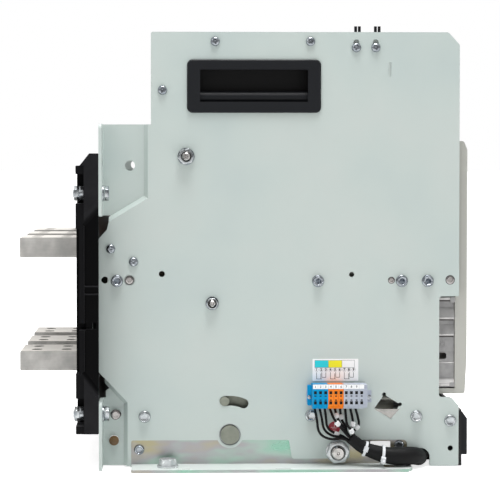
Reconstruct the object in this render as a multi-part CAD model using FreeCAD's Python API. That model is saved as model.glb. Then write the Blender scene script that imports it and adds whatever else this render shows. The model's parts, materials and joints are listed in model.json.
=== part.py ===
import FreeCAD, Part
import math
import os
from FreeCAD import Vector as V

# overall and scale
WIDTH = 375.0
POLE_PITCH = 95.0
GAP = 0.3
RUN = 0.08

# side plate
PLATE_OUT = 155.5
SHEET = 3.0
PLATE_IN = PLATE_OUT - SHEET
PLATE_FRONT = -182.0
PLATE_TOP = 435.0
JOGGLE = 6.0
FLANGE_Y = 177.5
EDGE_X = WIDTH / 2

# racking gear
SHAFT_Y = 47.8
SHAFT_Z = 32.7
SHAFT_R = 9.5
ARM_SWING = 16.35
ARM_REACH = 127.8
RACK_TRAVEL = 75.0
FORK_PIN_R = 5.0
FORK_SLACK = 0.6
SLOT_R = 34.0
SLOT_HALF = 5.0
STOP_PIN_R = 4.7
STOP_ANGLE = 8.9
SECTOR_R = 42.0
SCREW_Z = 14.0
SCREW_R = 6.0
ARM_IN = 139.5
ARM_OUT = 143.5

# rail height and the three nested rail members
RAIL_Z = 187.0
GUIDE_WEB = 150.5
GUIDE_HALF = 12.5
MID_OUT = 150.2
MID_WEB = 147.7
MID_HALF = 10.2
INNER_OUT = 147.4
INNER_WEB = 144.9
INNER_HALF = 7.7
RAIL_FRONT = -176.0
RAIL_REAR = 165.0

# rear base and terminals
BASE_FRONT = FLANGE_Y
BASE_REAR = 200.0
BASE_LOW = 38.5
BASE_TOP = 314.0
STEP_Y = 192.0
RECESS = 2.0
BAR_WIDE = 60.0
BAR_THICK = 20.0
BAR_END = 259.5
UPPER_Z = 219.0
LOWER_Z = 104.0
BOLT_R = 5.5
BOLT_PITCH = 30.0
BOLT_Y = 228.2
TONGUE_WIDE = 56.0
TONGUE_THICK = 12.0
TONGUE_FRONT = 146.0

# breaker body
BODY_OUT = 137.0
BODY_SHEET = 2.5
HOUSING_X = 134.2
HOUSING_REAR = 88.0
HOUSING_FRONT = -36.0
HOUSING_LOW = 78.0
HOUSING_TOP = 300.0
WALL = 4.0
PLUG_TIP = 122.0
PLUG_THICK = TONGUE_THICK - 2 * GAP
CONTACT_Y = -6.0
CONTACT_Z = 132.0
CONTACT_R = 8.0
CHUTE_HALF = 34.5
FLAG_X = 53.0
FLAG_SHIFT = 22.0

# stored crank
CRANK_X = 95.0
CRANK_Z = 29.0
CRANK_R = 5.5

# front
COVER_X = 146.0
COVER_FRONT = -191.5
COVER_BACK = -179.5
COVER_LOW = 72.0
COVER_TOP = 326.5

# shutters
SHUTTER_Y = 94.3
SHUTTER_SHEET = 1.4
SHUTTER_TALL = 40.0
SHUTTER_CLEAR = 25.0

POLES = (-POLE_PITCH, 0.0, POLE_PITCH)


def yz(x):
    return lambda u, v: V(x, u, v)


def xz(y):
    return lambda u, v: V(u, y, v)


def xy(z):
    return lambda u, v: V(u, v, z)


def unit(du, dv):
    size = math.hypot(du, dv)
    return du / size, dv / size


def rounded(points, place):
    # closed face from corners (u, v) or (u, v, radius)
    count = len(points)
    corners = []
    for i in range(count):
        here = points[i]
        before = points[i - 1]
        after = points[(i + 1) % count]
        u, v = here[0], here[1]
        if len(here) < 3 or here[2] == 0:
            corners.append(((u, v), None, (u, v)))
            continue
        au, av = unit(before[0] - u, before[1] - v)
        bu, bv = unit(after[0] - u, after[1] - v)
        half = math.acos(max(-1.0, min(1.0, au * bu + av * bv))) / 2
        back = here[2] / math.tan(half)
        mu, mv = unit(au + bu, av + bv)
        deep = here[2] / math.sin(half) - here[2]
        start = (u + au * back, v + av * back)
        middle = (u + mu * deep, v + mv * deep)
        end = (u + bu * back, v + bv * back)
        corners.append((start, middle, end))
    edges = []
    for i in range(count):
        start, middle, end = corners[i]
        if middle:
            edges.append(Part.Arc(place(*start), place(*middle), place(*end)).toShape())
        nxt = corners[(i + 1) % count][0]
        if math.hypot(nxt[0] - end[0], nxt[1] - end[1]) > 1e-6:
            edges.append(Part.makeLine(place(*end), place(*nxt)))
    return Part.Face(Part.Wire(edges))


def prism(points, place, depth):
    return rounded(points, place).extrude(depth)


def along_x(points, x0, x1):
    return prism(points, yz(x0), V(x1 - x0, 0, 0))


def along_y(points, y0, y1):
    return prism(points, xz(y0), V(0, y1 - y0, 0))


def along_z(points, z0, z1):
    return prism(points, xy(z0), V(0, 0, z1 - z0))


def block(x0, x1, y0, y1, z0, z1):
    return Part.makeBox(x1 - x0, y1 - y0, z1 - z0, V(x0, y0, z0))


def soft_block(x0, x1, y0, y1, z0, z1, r):
    # box with the four edges along z rounded
    return along_z([(x0, y0, r), (x1, y0, r), (x1, y1, r), (x0, y1, r)], z0, z1)


def plate_block(x0, x1, y0, y1, z0, z1, r):
    # box with the four edges along x rounded
    return along_x([(y0, z0, r), (y1, z0, r), (y1, z1, r), (y0, z1, r)], x0, x1)


def face_block(x0, x1, y0, y1, z0, z1, r):
    # box with the four edges along y rounded
    return along_y([(x0, z0, r), (x1, z0, r), (x1, z1, r), (x0, z1, r)], y0, y1)


def rod_x(x0, x1, y, z, r):
    low = min(x0, x1)
    return Part.makeCylinder(r, abs(x1 - x0), V(low, y, z), V(1, 0, 0))


def rod_y(y0, y1, x, z, r):
    low = min(y0, y1)
    return Part.makeCylinder(r, abs(y1 - y0), V(x, low, z), V(0, 1, 0))


def rod_z(z0, z1, x, y, r):
    low = min(z0, z1)
    return Part.makeCylinder(r, abs(z1 - z0), V(x, y, low), V(0, 0, 1))


def fuse(shapes):
    shapes = list(shapes)
    if len(shapes) == 1:
        return shapes[0]
    return shapes[0].fuse(shapes[1:]).removeSplitter()


def cut(shape, tools):
    tools = list(tools)
    return shape.cut(tools) if tools else shape


def other(shape):
    return shape.mirror(V(0, 0, 0), V(1, 0, 0))


def both(shapes):
    shapes = list(shapes)
    return shapes + [other(s) for s in shapes]


def turned(shape, x, y, z, axis, angle):
    copy = shape.copy()
    copy.rotate(V(x, y, z), axis, angle)
    return copy


def lathe(points, x, y, z, axis):
    # revolve (radius, height) pairs about the given direction
    pts = [V(r, 0, h) for r, h in points]
    pts.append(pts[0])
    shape = Part.Face(Part.makePolygon(pts)).revolve(V(0, 0, 0), V(0, 0, 1), 360)
    shape.Placement = FreeCAD.Placement(V(x, y, z), FreeCAD.Rotation(V(0, 0, 1), axis))
    return shape


def hexagon(across, h0, h1, x, y, z, axis, spin=0.0):
    r = across / math.sqrt(3)
    pts = []
    for i in range(7):
        a = math.radians(60 * i + spin)
        pts.append(V(r * math.cos(a), r * math.sin(a), h0))
    shape = Part.Face(Part.makePolygon(pts)).extrude(V(0, 0, h1 - h0))
    crown = lathe([(0, h0), (r * 1.02, h0), (r * 1.02, h1 - r * 0.11), (r * 0.87, h1), (0, h1)], 0, 0, 0,
                  V(0, 0, 1))
    shape = shape.common(crown)
    shape.Placement = FreeCAD.Placement(V(x, y, z), FreeCAD.Rotation(V(0, 0, 1), axis))
    return shape


def save(name, shapes):
    shapes = list(shapes) if isinstance(shapes, (list, tuple)) else [shapes]
    flat = []
    for s in shapes:
        flat.extend(s.Solids)
    shape = flat[0] if len(flat) == 1 else Part.makeCompound(flat)
    shape.exportStep("parts/" + name + ".step")


# places on the side plate, (y, z)
PAN_SCREWS = [(62.5, 425.5), (-32.5, 425.5), (115.0, 377.0), (166.7, 219.0), (144.0, 206.0)]
SLOT_SCREWS = [(-78.3, 419.6), (-97.7, 419.6)]
GUIDE_BOLTS = [(160.5, 187.0), (-40.5, 186.5), (-124.5, 186.5), (-150.5, 186.5)]
BASE_BOLTS = [(133.0, 51.0), (-33.5, 51.5)]
FRONT_BOLTS = [(-139.5, 50.5), (-173.5, 46.0)]
LEAF_SCREWS = [(138.5, 17.5), (-122.5, 21.0)]
BIG_NUT = (91.5, 311.0)
SMALL_NUT = (65.5, 164.5)
FREE_HOLES = [(172.5, 187.8, 3.5), (-173.8, 18.2, 2.7)]
TOOL_HOLES = [(115.7, 193.8, 3.0), (-74.1, 193.0, 2.6)]
RIVET_HOLES = [(-114.0, 187.2, 3.5), (-173.0, 187.5, 4.7)]
OVAL_RIVETS = [(148.0, 187.7), (162.0, 53.0)]
EARTH = (-60.0, 15.3)
FLANGE_BOLT_X = 168.0
FLANGE_BOLT_Z = (274.7, 56.0)
FLANGE_SLOT_Z = 304.0
CUP_Y = (-43.0, 90.5)
CUP_Z = (354.5, 407.5)


def sloped_band(corner, run, level, width):
    # strip of sheet that slopes from the outer plane to the pressed-in plane, along run
    du, dv, nu, nv = run
    x0 = -PLATE_OUT
    long = 120.0
    pts = []
    for x, off in ((x0, 0.0), (x0 + level, width), (x0 + level + SHEET, width), (x0 + SHEET, 0.0)):
        pts.append(V(x, corner[0] + nu * off - du * long, corner[1] + nv * off - dv * long))
    pts.append(pts[0])
    return Part.Face(Part.makePolygon(pts)).extrude(V(0, du * 2 * long, dv * 2 * long))


def pressed_band(line, level, width):
    # line: outer polyline of three points; offset line is computed on the side of the pressed field
    a, b, c = line
    d1u, d1v = unit(b[0] - a[0], b[1] - a[1])
    d2u, d2v = unit(c[0] - b[0], c[1] - b[1])
    n1u, n1v = -d1v, d1u
    n2u, n2v = -d2v, d2u
    mu, mv = unit(n1u + n2u, n1v + n2v)
    scale = width / (mu * n1u + mv * n1v)
    inner = (b[0] + mu * scale, b[1] + mv * scale)
    a2 = (a[0] + n1u * width, a[1] + n1v * width)
    c2 = (c[0] + n2u * width, c[1] + n2v * width)
    first = along_x([a, b, inner, a2], -PLATE_OUT - 1, -PLATE_OUT + 12)
    second = along_x([b, c, c2, inner], -PLATE_OUT - 1, -PLATE_OUT + 12)
    first = first.common(sloped_band(b, (d1u, d1v, n1u, n1v), level, width))
    second = second.common(sloped_band(b, (d2u, d2v, n2u, n2v), level, width))
    return [first, second], inner


def flange(z0, z1):
    out = -PLATE_OUT + JOGGLE
    inn = out + SHEET
    pts = [(inn, 173.5), (inn, FLANGE_Y, 4.0), (-EDGE_X, FLANGE_Y)]
    pts += [(-EDGE_X, FLANGE_Y - SHEET), (out, FLANGE_Y - SHEET, 1.0), (out, 173.5)]
    shape = along_z(pts, z0, z1)
    keep = along_y([(-EDGE_X, z0, 5.0), (-120, z0), (-120, z1), (-EDGE_X, z1, 5.0)], 160, 190)
    return shape.common(keep)


def arc_slot(x0, x1, half, extra):
    # slot about the racking shaft, swept by the stop pin
    start = 90 - STOP_ANGLE - extra
    end = 90 + 23.8 + extra
    start, end = math.radians(start), math.radians(end)
    mid = (start + end) / 2

    def at(r, a):
        return V(x0, SHAFT_Y + r * math.cos(a), SHAFT_Z + r * math.sin(a))

    ro, ri = SLOT_R + half, SLOT_R - half
    outer = Part.Arc(at(ro, start), at(ro, mid), at(ro, end)).toShape()
    inner = Part.Arc(at(ri, end), at(ri, mid), at(ri, start)).toShape()
    cap = half / SLOT_R
    cap1 = Part.Arc(at(ro, end), at(SLOT_R, end + cap), at(ri, end)).toShape()
    cap2 = Part.Arc(at(ri, start), at(SLOT_R, start - cap), at(ro, start)).toShape()
    return Part.Face(Part.Wire([outer, cap1, inner, cap2])).extrude(V(x1 - x0, 0, 0))


def side_plate():
    x0, x1 = -PLATE_OUT, -PLATE_IN
    line = [
        (126.5, PLATE_TOP, 2), (-170.5, PLATE_TOP, 4), (PLATE_FRONT, 422.5, 4), (PLATE_FRONT, 171, 1),
        (-162.2, 171, 3), (-162.2, 69.5, 3), (-174.5, 69.5, 5), (PLATE_FRONT, 61, 2), (PLATE_FRONT, 0.5, 2),
        (-153, 0.5, 1), (-153, 18.5, 9), (-137, 18.5, 3), (-133, 16, 1), (-130.5, 17.5, 0.8),
        (-130.5, 27, 5),
        (-72.5, 27, 2), (-72.5, 8.3, 2), (-14.5, 8.3, 3), (-11.5, 27.2, 2), (146.5, 27.2, 2), (146.5, 1.5),
        (150, 1.5), (150, 65.3), (172, 89), (173, 89.6, 2), (179.5, 96.5, 3), (179.5, 228, 3),
        (170.5, 238, 2),
        (168.5, 246), (129.5, 269.5), (129.5, 343), (126.5, 343),
    ]
    main = along_x(line, x0, x1)
    lobe = rod_x(x0, x1, SHAFT_Y, SHAFT_Z, 13.5)
    up, ub = pressed_band([(129.5, 343), (129.5, 269.5), (168.5, 246)], JOGGLE, 4.0)
    low, lb = pressed_band([(172, 89), (150, 65.3), (150, 1.5)], JOGGLE, 4.0)
    out = -PLATE_OUT + JOGGLE
    field_up = along_x([(ub[0], 343), ub, (166.2, 252.1), (173.5, 252.1), (173.5, 343)], out, out + SHEET)
    field_low = along_x(
        [(lb[0], 1.5), lb, (168.2, 79.0), (171.8, 76.5), (171.8, 69.5), (173.5, 69.5), (173.5, 1.5)],
        out, out + SHEET)
    trim_up = block(-PLATE_OUT - 5, -100, 120, 168.5, 240, 343.0)
    trim_low = block(-PLATE_OUT - 5, -100, 140, 173.0, 1.5, 89.3)
    bands = [b.common(trim_up) for b in up] + [b.common(trim_low) for b in low]
    body = fuse([main, lobe, field_up, field_low, flange(252.0, 343.0), flange(1.5, 69.5)] + bands)
    holes = []
    for y, z in PAN_SCREWS:
        holes.append(rod_x(x0 - 1, x1 + 8, y, z, 2.7))
    for y, z in SLOT_SCREWS:
        holes.append(plate_block(x0 - 1, x1 + 1, y - 2.8, y + 2.8, z - 4.0, z + 8.2, 2.75))
    for y, z in GUIDE_BOLTS + BASE_BOLTS + FRONT_BOLTS:
        holes.append(rod_x(x0 - 1, x1 + 8, y, z, 4.3))
    holes.append(rod_x(x0 - 1, x1 + 8, BIG_NUT[0], BIG_NUT[1], 5.2))
    holes.append(rod_x(x0 - 1, x1 + 8, SMALL_NUT[0], SMALL_NUT[1], 4.2))
    for y, z, r in FREE_HOLES + TOOL_HOLES + RIVET_HOLES:
        holes.append(rod_x(x0 - 1, x1 + 8, y, z, r))
    for y, z in OVAL_RIVETS:
        holes.append(plate_block(x0 - 1, x1 + 8, y - 5.5, y + 5.5, z - 4.85, z + 4.85, 4.8))
    holes.append(rod_x(x0 - 1, x1 + 8, 147.5, 302.0, 5.0))
    holes.append(rod_x(x0 - 1, x1 + 8, 163.7, 26.7, 5.0))
    holes.append(plate_block(x0 - 1, x1 + 1, -113.3, -110.3, 390.5, 405.0, 1.45))
    holes.append(rod_x(x0 - 1, x1 + 1, SHAFT_Y, SHAFT_Z, 10.8))
    holes.append(arc_slot(x0 - 1, x1 + 1, SLOT_HALF, 0.0))
    holes.append(rod_x(x0 - 1, x1 + 1, EARTH[0], EARTH[1], 6.15))
    holes.append(plate_block(x0 - 1, x1 + 1, CUP_Y[0] + 5, CUP_Y[1] - 5, CUP_Z[0] + 5, CUP_Z[1] - 5, 4.0))
    diamond = [(-107, 72.5), (-123, 62.5), (-114, 47.5), (-97, 58.5)]
    holes.append(along_x(diamond, x0 - 1, x1 + 1))
    for y, z in (diamond[0], diamond[1]):
        holes.append(rod_x(x0 - 1, x1 + 1, y, z, 2.0))
    for z in FLANGE_BOLT_Z:
        holes.append(rod_y(170, 180, -FLANGE_BOLT_X, z, 4.6))
    holes.append(face_block(-FLANGE_BOLT_X - 8, -FLANGE_BOLT_X + 8, 170, 180, FLANGE_SLOT_Z - 3.5,
                            FLANGE_SLOT_Z + 3.5, 3.4))
    body = cut(body, holes)
    # tab lanced from the lower half of the window, bent inwards along its lower rear edge
    tab = along_x([(-97.0, 58.5), (-114.0, 47.5), (-119.0, 56.5, 2)], x0 + 0.6, x0 + 2.6)
    tab = turned(tab, x0 + 0.6, -97.0, 58.5, V(0, -17.0, -11.0), -12)
    return fuse([body, tab])


def foot_bracket():
    inn = -PLATE_IN + SHEET
    leaf = [
        (148, 0, 2), (148, 58, 2), (64, 58, 2), (64, 48, 2), (20, 48, 2), (20, 58, 2),
        (-66, 58, 3), (-66, 26.6, 2), (-131.5, 26.6, 6), (-131.5, 0, 2),
    ]
    upright = along_x(leaf, -PLATE_IN, inn)
    rear = 146.2
    foot = along_z([(-PLATE_IN, rear), (-EDGE_X, rear, 4), (-EDGE_X, -127, 3), (-178, -132.5, 3),
                    (-PLATE_IN, -132.5)],
                   0, SHEET)
    shape = fuse([upright, foot])
    tools = [rod_z(-1, 5, -170.0, 110.0, 5.5), rod_z(-1, 5, -170.0, -110.0, 5.5)]
    tools.append(plate_block(-160, -140, -114.0, -93.5, 12.0, 25.2, 1.0))
    tools.append(rod_x(-160, -140, SHAFT_Y, SHAFT_Z, 12.6))
    for y, z in BASE_BOLTS:
        tools.append(rod_x(-160, -140, y, z, 4.3))
    for y, z in LEAF_SCREWS:
        tools.append(rod_x(-160, -140, y, z, 3.2))
    tools.append(rod_x(-160, -140, EARTH[0], EARTH[1], 6.15))
    return cut(shape, tools)


def base_plate():
    t = 2.5
    side = GAP + 149.2
    floor = along_z([(-side, 142), (side, 142), (side, -62), (-side, -62)], 0, t)
    lip = along_x(
        [(142, 0), (142, 56, 3), (66, 56, 2), (66, 46, 2), (18, 46, 2), (18, 56, 2), (-62, 56, 3),
         (-62, 0)],
        -side, -side + t)
    rear = block(-side, side, 142 - t, 142, 0, 22)
    shape = fuse([floor, lip, other(lip), rear])
    tools = []
    for x in (-side, side):
        tools.append(rod_x(x - 5, x + 5, SHAFT_Y, SHAFT_Z, 12.6))
        for y, z in BASE_BOLTS:
            tools.append(rod_x(x - 5, x + 5, y, z, 4.3))
        tools.append(rod_x(x - 5, x + 5, LEAF_SCREWS[0][0], LEAF_SCREWS[0][1], 3.2))
        tools.append(rod_x(x - 5, x + 5, EARTH[0], EARTH[1], 6.15))
    shape = cut(shape, tools)
    # tube on a foot, in which the crank is kept
    tube = rod_y(-148.0, -40.0, CRANK_X, CRANK_Z, 8.0)
    foot = block(CRANK_X - 5, CRANK_X + 5, -61.5, -46.0, t, CRANK_Z - 4)
    tube = fuse([tube, foot]).cut(rod_y(-150, 0, CRANK_X, CRANK_Z, CRANK_R + 0.25))
    return [shape, tube]


def shaft_bushes():
    bush = fuse([
        rod_x(-PLATE_IN, -147.0, SHAFT_Y, SHAFT_Z, 12.5),
        rod_x(-147.0, -144.6, SHAFT_Y, SHAFT_Z, 17.0),
    ])
    bush = bush.cut(rod_x(-160, -140, SHAFT_Y, SHAFT_Z, SHAFT_R + RUN))
    return both([bush])


def rear_base():
    side = [
        (BASE_FRONT, BASE_LOW, 1), (BASE_FRONT, BASE_TOP, 1), (186.6, BASE_TOP, 1), (196.0, 302.0),
        (BASE_REAR, 302.0, 1), (BASE_REAR, BASE_LOW, 1),
    ]
    shape = along_x(side, -EDGE_X, EDGE_X)
    tools = []
    for s in (-1, 1):
        x0, x1 = sorted((s * (EDGE_X + 1), s * 157.0))
        for z0, z1 in ((264.8, 293.8), (46.2, 73.5)):
            tools.append(block(x0, x1, STEP_Y, 205.0, z0, z1))
        x0, x1 = sorted((s * (EDGE_X + 1), s * (EDGE_X - 1.2)))
        tools.append(block(x0, x1, STEP_Y, 205.0, BASE_LOW - 1, 302.1))
        tools += side_recess(s)
        x0, x1 = sorted((s * (EDGE_X + 1), s * 170.0))
        tools.append(block(x0, x1, 196.5, 205.0, 98.0, 240.0))
        tools.append(block(x0, x1, 190.0, 205.0, 140.5, 147.5))
        x0, x1 = sorted((s * 183.0, s * 176.5))
        tools.append(block(x0, x1, 188.0, 205.0, 152.0, 232.0))
        tools.append(block(x0, x1, 188.0, 205.0, 88.0, 135.0))
        for z in FLANGE_BOLT_Z:
            tools.append(rod_y(170, STEP_Y + 1, s * FLANGE_BOLT_X, z, 4.6))
        # light pockets at the front, beside the flanges
        x0, x1 = sorted((s * (EDGE_X - 4), s * 152.0))
        tools.append(block(x0, x1, 170.0, 184.0, 93.5, 231.0))
    for z in (UPPER_Z, LOWER_Z):
        for x in POLES:
            tools.append(block(x - BAR_WIDE / 2 - GAP, x + BAR_WIDE / 2 + GAP, 170, 210,
                               z - BAR_THICK / 2 - GAP, z + BAR_THICK / 2 + GAP))
    for x in (-47.5, 47.5):
        for z0, z1 in ((240.0, 290.0), (130.0, 195.0), (52.0, 80.0)):
            tools.append(soft_pocket(x, z0, z1))
    for x in POLES:
        for z0, z1 in ((242.0, 290.0), (128.0, 195.0), (50.0, 82.0)):
            tools.append(face_block(x - 26, x + 26, 186.0, 205.0, z0, z1, 4.0))
    shape = cut(shape, tools)
    collars = []
    for z in (UPPER_Z, LOWER_Z):
        for x in POLES:
            ring = face_block(x - 38, x + 38, BASE_REAR, 201.5, z - 18, z + 18, 3.0)
            hole = block(x - BAR_WIDE / 2 - GAP, x + BAR_WIDE / 2 + GAP, 190, 210,
                         z - BAR_THICK / 2 - GAP, z + BAR_THICK / 2 + GAP)
            collars.append(ring.cut(hole))
    return fuse([shape] + collars)


def side_recess(s):
    # shallow recess of the narrow side between the two bolt corners, with ribs, a slot and slanted ends
    deep = EDGE_X - RECESS
    x0, x1 = sorted((s * (EDGE_X + 1), s * deep))
    low = [(176.0, 81.0), (STEP_Y - 0.6, 100.4), (STEP_Y - 0.6, 175.4), (176.0, 175.4)]
    mid = [(176.0, 176.6), (STEP_Y - 0.6, 176.6), (STEP_Y - 0.6, 183.1), (176.0, 183.1)]
    high = [(176.0, 184.3), (STEP_Y - 0.6, 184.3), (STEP_Y - 0.6, 242.6), (176.0, 258.0)]
    found = [along_x(low, x0, x1), along_x(mid, x0, x1), along_x(high, x0, x1)]
    x2, x3 = sorted((s * (EDGE_X + 1), s * (EDGE_X - 5.5)))
    found.append(block(x2, x3, 180.0, STEP_Y - 0.6, 141.7, 147.9))
    ramp = [(s * deep, 0.0), (s * EDGE_X, 9.0), (s * (EDGE_X + 1), 9.0), (s * (EDGE_X + 1), 0.0)]
    for z, tilt, turn in ((100.4, 51.5, -1), (242.6, -45.0, 1)):
        wedge = along_y([(x, z + turn * (n - 0.05)) for x, n in ramp], STEP_Y - 27.0, STEP_Y - 0.6)
        found.append(turned(wedge, 0, STEP_Y - 0.6, z, V(1, 0, 0), tilt))
    return found


def soft_pocket(x, z0, z1):
    return face_block(x - 9.0, x + 9.0, 186.0, 205.0, z0, z1, 4.0)


def terminal(x, z, notch):
    half = BAR_WIDE / 2
    thick = BAR_THICK / 2
    bar = along_x([(BASE_FRONT - 3, z - thick), (BAR_END, z - thick, 1.2), (BAR_END, z + thick, 1.2),
                   (BASE_FRONT - 3, z + thick)], x - half, x + half)
    tongue = along_x([(TONGUE_FRONT, z - 5.0), (TONGUE_FRONT + 3, z - TONGUE_THICK / 2),
                      (BASE_FRONT, z - TONGUE_THICK / 2),
                      (BASE_FRONT, z + TONGUE_THICK / 2), (TONGUE_FRONT + 3, z + TONGUE_THICK / 2),
                      (TONGUE_FRONT, z + 5.0)],
                     x - TONGUE_WIDE / 2, x + TONGUE_WIDE / 2)
    shape = fuse([bar, tongue])
    tools = []
    for dx in (-BOLT_PITCH / 2, BOLT_PITCH / 2):
        for dy in (-BOLT_PITCH / 2, BOLT_PITCH / 2):
            tools.append(rod_z(z - 15, z + 15, x + dx, BOLT_Y + dy, BOLT_R))
    if notch:
        tools.append(block(x - half - 1, x - half + 2.0, BAR_END - 9.0, BAR_END - 6.5, z - thick - 1,
                           z - thick + 2.5))
    return cut(shape, tools)


def fingers(z):
    found = []
    wide, pitch = 12.2, 14.0
    face = TONGUE_THICK / 2
    for x in POLES:
        for i in range(4):
            x0 = x - 1.5 * pitch + i * pitch - wide / 2
            for s in (-1, 1):
                pts = [(100.5, z + s * 9.5), (106.0, z + s * face), (114.0, z + s * face),
                       (120.0, z + s * 8.2),
                       (143.0, z + s * 8.2), (149.5, z + s * face), (160.0, z + s * face),
                       (165.0, z + s * 9.0),
                       (165.0, z + s * 13.5), (158.0, z + s * 16.0), (107.0, z + s * 16.0),
                       (100.5, z + s * 13.0)]
                found.append(along_x(pts, x0, x0 + wide))
    return found


def jaw_cages(z):
    found = []
    for x in POLES:
        outer = block(x - 31.0, x + 31.0, 124.0, 140.0, z - 20.0, z + 20.0)
        inner = block(x - 28.5, x + 28.5, 120.0, 144.0, z - 16.0, z + 16.0)
        found.append(outer.cut(inner))
    return found


def shutter_posts():
    post = block(-137.0, -127.0, 91.0, 99.0, 26.0, 296.0)
    post = post.cut(block(-131.0, -120.0, SHUTTER_Y - 0.5, SHUTTER_Y + SHUTTER_SHEET + 0.5, 20.0, 300.0))
    arms = [block(-137.0, -131.5, 99.0, BASE_FRONT, 40.0, 52.0),
            block(-137.0, -131.5, 99.0, BASE_FRONT, 284.0, 296.0)]
    foot = block(-137.0, -127.0, 91.0, 99.0, 2.5, 26.0)
    return both([fuse([post, foot] + arms)])


def shutter(z0):
    sheet = block(-130.5, 130.5, SHUTTER_Y, SHUTTER_Y + SHUTTER_SHEET, z0, z0 + SHUTTER_TALL)
    rib = block(-124.0, 124.0, SHUTTER_Y + SHUTTER_SHEET, SHUTTER_Y + 4.4, z0 + 17, z0 + 19.5)
    return fuse([sheet, rib])


def rail_guides():
    z0, z1 = RAIL_Z - GUIDE_HALF, RAIL_Z + GUIDE_HALF
    web = block(-PLATE_IN, -GUIDE_WEB, RAIL_FRONT, 170.0, z0, z1)
    top = block(-GUIDE_WEB, -144.0, RAIL_FRONT, 170.0, z1 - 2.0, z1)
    low = block(-GUIDE_WEB, -144.0, RAIL_FRONT, 170.0, z0, z0 + 2.0)
    low = low.cut(block(-149.9 - 0.61, -140.0, -12.0, 106.0, z0 - 1, z0 + 3))
    shape = fuse([web, top, low])
    tools = []
    for y, z in GUIDE_BOLTS:
        tools.append(rod_x(-160, -149, y, z, 4.3))
    for y, z, r in TOOL_HOLES:
        tools.append(rod_x(-160, -149, y, z, r + 0.4))
    shape = cut(shape, tools)
    studs = []
    for y, z, r in RIVET_HOLES:
        studs.append(rod_x(-PLATE_OUT + 0.8, -GUIDE_WEB, y, z, 3.3))
    y, z = OVAL_RIVETS[0]
    studs.append(rod_x(-PLATE_OUT + 0.6, -GUIDE_WEB, y, z, 3.3))
    return both([fuse([shape] + studs)])


def mid_rails():
    z0, z1 = RAIL_Z - MID_HALF, RAIL_Z + MID_HALF
    web = block(-MID_OUT, -MID_WEB, RAIL_FRONT, RAIL_REAR, z0, z1)
    top = block(-MID_WEB, -144.0, RAIL_FRONT, RAIL_REAR, z1 - 2.2, z1)
    low = block(-MID_WEB, -144.0, RAIL_FRONT, RAIL_REAR, z0, z0 + 2.2)
    pin_y = SHAFT_Y + RACK_TRAVEL / 2
    pin_z = SHAFT_Z + ARM_REACH
    tab = along_x([(pin_y - 11, z0 + 2), (pin_y - 8, pin_z - 8, 6), (pin_y + 8, pin_z - 8, 6),
                   (pin_y + 11, z0 + 2)],
                  -MID_OUT, -MID_WEB)
    pin = rod_x(-MID_WEB, -138.2, pin_y, pin_z, FORK_PIN_R)
    shape = cut(fuse([web, top, low, tab, pin]), tool_notches(5.0, z1))
    return both([shape])


def tool_notches(half, top):
    found = []
    for y, z, r in TOOL_HOLES:
        found.append(block(-MID_OUT - 1, -141.0, y - half, y + half, z - half, top + 1))
    return found


def inner_rails():
    z0, z1 = RAIL_Z - INNER_HALF, RAIL_Z + INNER_HALF
    web = block(-INNER_OUT, -INNER_WEB, RAIL_FRONT, RAIL_REAR - 5, z0, z1)
    top = block(-INNER_WEB, -141.6, RAIL_FRONT, RAIL_REAR - 5, z1 - 2.2, z1)
    low = block(-INNER_WEB, -141.6, RAIL_FRONT, RAIL_REAR - 5, z0, z0 + 2.2)
    shape = cut(fuse([web, top, low]), tool_notches(6.0, z1))
    return both([shape])


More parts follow.
